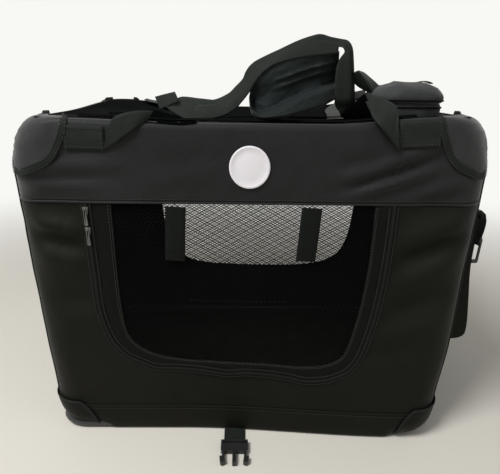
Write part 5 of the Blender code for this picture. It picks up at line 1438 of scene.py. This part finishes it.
class CRATE_OT_handle(bpy.types.Operator):
    """Two layers of webbing in a leaning arch, and the folded wrap that hangs from them"""
    bl_idname = "crate.handle"
    bl_label = "Carry Handle"

    def execute(self, context):
        nodes = {"handle_left_front": ("handle_strap_front",), "handle_left_rear": ("handle_strap_rear",)}
        for name, edges in WEBBING.items():
            if name.startswith("handle"):
                made = piece(name + "_webbing", ribbon(*edges), "polypropylene_webbing", "handle",
                             replaces=nodes.get(name, ()))
                thicken(made, 0.0018, 0.0)
        self.wrap()
        return {"FINISHED"}

    def wrap(self):
        """Cloth grip folded round the webbing: its front falls below the arch and turns up in a lip."""
        tops, lows = through(WRAP_TOP, 80), through(WRAP_LOW, 80)
        rows = []
        for k, (a, b) in enumerate(zip(tops, lows)):
            share = k / 79
            lip = 0.90 - 0.24 * smooth(share, 0.15, 0.75)
            ends = smooth(share, -0.02, 0.10)
            front, back = [], []
            for i in range(41):
                t = i / 40
                place = a.lerp(b, t) + Vector((0, 0.013 * smooth(share, 0.80, 0.97), 0))
                fall = -0.002 + 0.013 * smooth(t, 0.0, lip * 0.8) * ends
                rise = -0.028 * smooth(t, lip - 0.06, lip + 0.05) * (1 - smooth(t, 0.93, 1.0) * 0.7) * ends
                slant = t + 0.20 * share
                crease = 0.0042 * math.exp(-((slant - 0.40) / 0.035) ** 2)
                crease += 0.0038 * math.exp(-((slant - 0.53) / 0.04) ** 2)
                crease *= smooth(share, 0.25, 0.55) * ends
                rumple = 0.0026 * ripple(share * 4, t * 5, 1.7)
                rumple += 0.0007 * ripple(share * 16, t * 14, 4.1)
                front.append(place + Vector((0, fall + rise - crease + rumple * ends, 0)))
                back.append(place + Vector((0, 0.020 + 0.004 * math.sin(math.pi * t) + rumple * 0.5, 0)))
            front[0] = front[0] + Vector((0, 0.004, 0.001))
            rows.append(front + back[::-1])
        made = piece("handle_wrap_cloth", close_up(loft(rows, ring=True)), "oxford_wrap", "handle", 60,
                     replaces=("handle_wrap",))


class CRATE_OT_pouch(bpy.types.Operator):
    """Cushioned pouch on the roof, with its zip lines and pull tab"""
    bl_idname = "crate.pouch"
    bl_label = "Roof Pouch"

    def execute(self, context):
        low, high, middle, size = measured("pouch_body")
        lid_low, lid_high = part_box("pouch_lid")
        half_x, half_y = size.x / 2, size.y / 2
        crown = lid_high.z - lid_low.z
        sides = [(low.z, 0.96), (low.z + 0.003, 1.02), (low.z + 0.010, 1.06), (high.z - 0.007, 1.08),
                 (high.z - 0.001, 1.05), (high.z, 1.02)]
        dome = [(0.0, 1.03), (0.05, 1.09), (0.15, 1.13), (0.30, 1.145), (0.46, 1.12), (0.60, 1.05),
                (0.73, 0.93), (0.84, 0.76), (0.92, 0.55), (0.97, 0.32), (1.0, 0.12)]
        dome = [(lid_low.z + crown * share, scale) for share, scale in dome]
        bm = self.shell(middle, half_x, half_y, sides, 0.0)
        made = piece("pouch_body_cloth", bm, "oxford_pouch_painted_light", "top", replaces=("pouch_body",))
        bm = self.shell(middle, half_x, half_y, dome, 0.005)
        made = piece("pouch_lid_cloth", bm, "oxford_pouch_painted_light", "pouch_lid", replaces=("pouch_lid",))

        def outward(place):
            return Vector((place.x - middle.x, place.y - middle.y, 0)).normalized()

        for name, z, scale, body in (("pouch_zip_line", lid_low.z + crown * 0.13, 1.128, "pouch_lid"),
                                     ("pouch_seam_line", high.z - 0.0050, 1.082, "top")):
            loop = [Vector((middle.x + x * scale, middle.y + y * scale, z))
                    for x, y in superellipse(half_x, half_y, 96)]
            loop = [p + self.rumple(p) * outward(p) for p in loop]
            line = sweep(loop, outward, tape_section(0.0022, 0.0008, 0.0005), closed=True)
            piece(name, line, "knitted_net", body, slot="black_plastic")
        tab = [Vector((middle.x + 0.018 + 0.022 * k / 8, middle.y + 0.006,
                       lid_high.z - 0.0016 + 0.0024 * math.sin(math.pi * k / 8))) for k in range(9)]
        tape("pouch_pull_tab", tab, UPWARDS, (0.014, 0.0014), "polypropylene_webbing", "pouch_lid")
        return {"FINISHED"}

    def rumple(self, place):
        """How far the pouch's side stands off its even shape."""
        return 0.0030 * noise.noise(place * 32) + 0.0012 * noise.noise(place * 90)

    def shell(self, middle, half_x, half_y, levels, swell):
        """Closed cushion drawn up through rounded outlines."""
        rows = []
        for z, scale in levels:
            row = []
            for x, y in superellipse(half_x, half_y, 96):
                place = Vector((middle.x + x * scale, middle.y + y * scale, z))
                out = Vector((x, y, 0)).normalized()
                lift = swell * noise.noise(Vector((x * 34, y * 34, 8.0)) * scale)
                lift *= smooth(1.1 - scale, 0.0, 0.5)
                row.append(place + out * self.rumple(place) + UPWARDS * lift)
            rows.append(row)
        return close_up(loft(rows, ring=True))


def superellipse(half_x, half_y, count, power=3.0):
    """Rounded rectangle as a smooth closed curve about the origin."""
    points = []
    for k in range(count):
        turn = math.tau * k / count
        c, s = math.cos(turn), math.sin(turn)
        scale = (abs(c) ** power + abs(s) ** power) ** (-1 / power)
        points.append((half_x * c * scale, half_y * s * scale))
    return points


class CRATE_OT_side_pocket(bpy.types.Operator):
    """Pocket on the right end, its flap and the webbing that holds the ladder buckle"""
    bl_idname = "crate.side_pocket"
    bl_label = "Side Pocket"

    def execute(self, context):
        low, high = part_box("side_pocket")
        rows = []
        half = (high.y - low.y) / 2
        profile = through([(high.x - HALF_X, 0, high.z), (0.0262, 0, 0.30), (0.0355, 0, 0.235),
                           (0.0440, 0, 0.176), (0.0400, 0, 0.160), (0.0200, 0, 0.1552),
                           (0.0010, 0, low.z)], 40)
        for spot in profile:
            depth, z = spot.x, spot.z
            row = [Vector((HALF_X + 0.0004 + depth * k / 6, -half, z)) for k in range(7)]
            for i in range(1, 48):
                y = half * (-1 + 2 * i / 48)
                edge = min(1.0, (half - abs(y)) / 0.05)
                wave = 0.0030 * ripple(y * 16, z * 12, 3.0) - 0.004 * smooth(edge, 0.0, 1.0)
                out = max(0.0, depth + wave * min(1.0, depth / 0.01))
                row.append(Vector((HALF_X + 0.0004 + out, y, z)))
            row += [Vector((HALF_X + 0.0004 + depth * k / 6, half, z)) for k in range(6, -1, -1)]
            rows.append(row)
        pocket = piece("side_pocket_cloth", loft(rows, inside=(0, 0, 0.3)), "oxford_panel", "base",
                       replaces=("side_pocket",), folds=True)
        thicken(pocket, CLOTH)
        path = evenly([Vector((HALF_X + 0.0008, p.y, p.z)) for p in rim(rows)], 120)
        tape("side_pocket_binding", path, RIGHTWARDS, (0.009, 0.0012, 0.0005), "grosgrain_binding", "base",
             folds=True)
        self.flap()
        self.ladder()
        return {"FINISHED"}

    def flap(self):
        """Flap that covers the pocket's mouth, with a bound hem."""
        low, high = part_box("pocket_flap")
        rows = []
        section = [(low.x, high.z), (low.x + 0.008, high.z + 0.0060), (high.x - 0.004, high.z + 0.0085),
                   (high.x + 0.003, high.z + 0.0030), (high.x + 0.0068, high.z - 0.008)]
        hang = high.z - 0.008 - low.z
        for k in range(1, 7):
            section.append((high.x + 0.0075 - 0.0060 * (k / 6) ** 2, high.z - 0.008 - hang * k / 6))
        for k in range(61):
            s = -1 + 2 * k / 60
            y = high.y * s
            row = []
            for i, (x, z) in enumerate(section):
                wave = 0.0018 * ripple(y * 16, z * 30, 9.0) * smooth(i, 3, 8)
                drop = 0.004 * smooth(abs(s), 0.8, 1.0) * smooth(i, 4, 10)
                row.append(Vector((x + wave, y, z + drop)))
            rows.append(row)
        made = piece("pocket_flap_cloth", loft(rows, inside=(0.2, 0, 0.2)), "oxford_cap", "pocket_flap",
                     replaces=("pocket_flap",), folds=True)
        thicken(made, CLOTH)
        hem = [row[-1] + Vector((0.0003, 0, 0)) for row in rows]
        tape("pocket_flap_hem", hem, RIGHTWARDS, (0.008, 0.0012, 0.0004), "grosgrain_binding",
             "pocket_flap", folds=True)

    def ladder(self):
        """Webbing under the flap and the ring of the ladder buckle that hangs from it."""
        low, high, middle, size = measured("ladder_hanger")
        path = [Vector((middle.x, low.y + 0.0002, high.z + 0.004 - (size.z + 0.004) * k / 8))
                for k in range(9)]
        tape("ladder_hanger_tape", path, FRONTWARDS, (size.x, 0.0014, 0.0003), "polypropylene_webbing",
             "pocket_flap", replaces=("ladder_hanger",), folds=True)
        bm = bmesh.new()
        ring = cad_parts["ladder_buckle"]
        bm.from_mesh(ring.data)
        bm.transform(ring.matrix_world)
        piece("ladder_buckle_ring", bm, "moulded_acetal", "ladder_buckle", 30, replaces=("ladder_buckle",),
              folds=True)


class CRATE_OT_closing_straps(bpy.types.Operator):
    """Webbing of the two closing straps"""
    bl_idname = "crate.closing_straps"
    bl_label = "Closing Straps"

    def execute(self, context):
        for name, node, sign in (("front", "closing_strap", -1), ("rear", "rear_closing_strap", 1)):
            low, high, middle, _ = measured(node)
            near, far = (high.y, low.y) if sign < 0 else (low.y, high.y)
            path = []
            for share in [k / 16 for k in range(17)]:
                lift = 0.0009 + 0.0022 * smooth(share, 0.55, 1.0)
                path.append(Vector((middle.x, near + (far + sign * 0.0075 - near) * share, lift)))
            tape("closing_webbing_" + name, path, UPWARDS, (0.0372, 0.0013, 0.0003),
                 "polypropylene_webbing", node, replaces=(node,))
            runs = [[p + Vector((side, 0, 0.0017)) for p in path[2:14]] for side in (-0.0165, 0.0165)]
            sewn("closing_stitching_" + name, runs, UPWARDS, node)
        return {"FINISHED"}


class CRATE_OT_frame_finish(bpy.types.Operator):
    """Finishes of the CAD's own tubes, brackets, clips, buckles and board"""
    bl_idname = "crate.frame_finish"
    bl_label = "Frame Finishes"

    def execute(self, context):
        finishes = {"painted_steel": "powder_coated_tube", "black_plastic": "moulded_acetal",
                    "hardboard": "pressed_board", "black_webbing": "polypropylene_webbing",
                    "black_oxford": "oxford_panel", "black_net": "knitted_net",
                    "zinc_alloy": "zinc_sliders", "badge_white": "white_pvc"}
        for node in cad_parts.values():
            for slot in node.material_slots:
                base = slot.material.name.split(".")[0]
                if base in finishes:
                    slot.material = MATERIALS[finishes[base]]
        return {"FINISHED"}


class CRATE_OT_stage(bpy.types.Operator):
    """Pale floor, soft lamps and the camera"""
    bl_idname = "crate.stage"
    bl_label = "Stage"

    def execute(self, context):
        settings = context.scene.crate_stage
        self.floor(settings)
        self.world()
        self.lamp("key_lamp", (-0.95, -1.00, 2.05), (0.0, -0.15, 0.35), 0.9, settings.key)
        self.lamp("fill_lamp", (1.8, -1.2, 1.6), (0.0, 0.0, 0.3), 1.4, settings.fill)
        self.camera(context)
        context.scene.view_settings.view_transform = "Standard"
        return {"FINISHED"}

    def floor(self, settings):
        bm = bmesh.new()
        bmesh.ops.create_grid(bm, x_segments=1, y_segments=1, size=6.0)
        bmesh.ops.translate(bm, verts=bm.verts, vec=(0, 0, -0.0015))
        mesh = bpy.data.meshes.new("studio_floor")
        bm.to_mesh(mesh)
        bm.free()
        made = linked("studio_floor", mesh)
        # Matt studio floor that fades into the backdrop far from the crate
        material, tree, shader = start_material("painted_studio_floor", 0.75)
        shader.inputs["Base Color"].default_value = tuple(settings.floor)
        place = add(tree, "ShaderNodeTexCoord").outputs["Object"]
        far = add(tree, "ShaderNodeVectorMath", {0: place}, operation="LENGTH").outputs["Value"]
        far = add(tree, "ShaderNodeMapRange", {"Value": far, "From Min": 0.7, "From Max": 2.2},
                  interpolation_type="SMOOTHSTEP").outputs["Result"]
        rays = add(tree, "ShaderNodeLightPath")
        seen = add(tree, "ShaderNodeMath",
                   {0: rays.outputs["Is Camera Ray"], 1: rays.outputs["Is Glossy Ray"]},
                   operation="MAXIMUM").outputs[0]
        seen = add(tree, "ShaderNodeMath", {0: seen, 1: far}, operation="MULTIPLY").outputs[0]
        glow = add(tree, "ShaderNodeEmission", {"Color": linear("#f8f8f4"), "Strength": 1.0}).outputs[0]
        mixed = add(tree, "ShaderNodeMixShader", {0: seen, 1: shader.outputs[0], 2: glow}).outputs[0]
        tree.links.new(mixed, tree.nodes["Material Output"].inputs["Surface"])
        mesh.materials.append(material)

    def world(self):
        world = bpy.data.worlds.new("soft_white")
        bpy.context.scene.world = world
        world.use_nodes = True
        tree = world.node_tree
        tree.nodes.clear()
        rays = add(tree, "ShaderNodeLightPath")
        seen = rays.outputs["Is Camera Ray"]
        for other in ("Is Glossy Ray", "Is Transmission Ray"):
            seen = add(tree, "ShaderNodeMath", {0: seen, 1: rays.outputs[other]},
                       operation="MAXIMUM").outputs[0]
        dim = add(tree, "ShaderNodeBackground", {"Color": linear("#f4f4f2"), "Strength": 0.32}).outputs[0]
        bright = add(tree, "ShaderNodeBackground", {"Color": linear("#f8f8f4"), "Strength": 1.0}).outputs[0]
        mixed = add(tree, "ShaderNodeMixShader", {0: seen, 1: dim, 2: bright}).outputs[0]
        add(tree, "ShaderNodeOutputWorld", {"Surface": mixed})

    def lamp(self, name, place, target, size, power):
        data = bpy.data.lights.new(name, "AREA")
        data.shape, data.size, data.energy = "DISK", size, power
        made = linked(name, data)
        made.location = place
        made.rotation_euler = (Vector(target) - Vector(place)).to_track_quat("-Z", "Y").to_euler()

    def camera(self, context):
        """Camera fitted to the photograph: focal length 476 px, principal row 320 of 474."""
        image_width, image_height = 500, 474
        focal, principal_row = 476, 320
        pitch, yaw, roll = 26.5, -1.3, 0.9
        data = bpy.data.cameras.new("photo_camera")
        data.sensor_width = 36.0
        data.lens = focal * data.sensor_width / image_width
        data.shift_y = (principal_row - image_height / 2) / image_width
        made = linked("photo_camera", data)
        turn = Matrix.Identity(4)
        for angle, axis in ((yaw, "Z"), (90 - pitch, "X"), (roll, "Z")):
            turn = turn @ Matrix.Rotation(math.radians(angle), 4, axis)
        made.matrix_world = Matrix.Translation(EYE) @ turn
        context.scene.camera = made


class CRATE_PT_panel(bpy.types.Panel):
    """Lists the crate's pieces and their settings"""
    bl_idname = "CRATE_PT_panel"
    bl_label = "Folding Dog Crate"
    bl_space_type = "VIEW_3D"
    bl_region_type = "UI"
    bl_category = "Crate"

    def draw(self, context):
        for group in (context.scene.crate_cloth, context.scene.crate_webbing, context.scene.crate_door,
                      context.scene.crate_stage):
            for name in group.__annotations__:
                self.layout.prop(group, name)
        for operator in OPERATORS:
            self.layout.operator(operator.bl_idname)


GROUPS = {"crate_cloth": CrateClothSettings, "crate_webbing": CrateWebbingSettings,
          "crate_door": CrateDoorSettings, "crate_stage": CrateStageSettings}
OPERATORS = (CRATE_OT_cover, CRATE_OT_roof, CRATE_OT_tray, CRATE_OT_corner_caps, CRATE_OT_door,
             CRATE_OT_zip, CRATE_OT_window, CRATE_OT_front_trim, CRATE_OT_pouch, CRATE_OT_webbing,
             CRATE_OT_handle, CRATE_OT_side_pocket, CRATE_OT_closing_straps, CRATE_OT_frame_finish,
             CRATE_OT_stage)


def register():
    for name, group in GROUPS.items():
        bpy.utils.register_class(group)
        setattr(bpy.types.Scene, name, PointerProperty(type=group))
    for operator in OPERATORS:
        bpy.utils.register_class(operator)
    bpy.utils.register_class(CRATE_PT_panel)


def unregister():
    bpy.utils.unregister_class(CRATE_PT_panel)
    for operator in reversed(OPERATORS):
        bpy.utils.unregister_class(operator)
    for name, group in GROUPS.items():
        delattr(bpy.types.Scene, name)
        bpy.utils.unregister_class(group)


def main():
    register()
    make_materials()
    for operator in OPERATORS:
        family, action = operator.bl_idname.split(".")
        getattr(getattr(bpy.ops, family), action)()


if __name__ == "__main__":
    main()
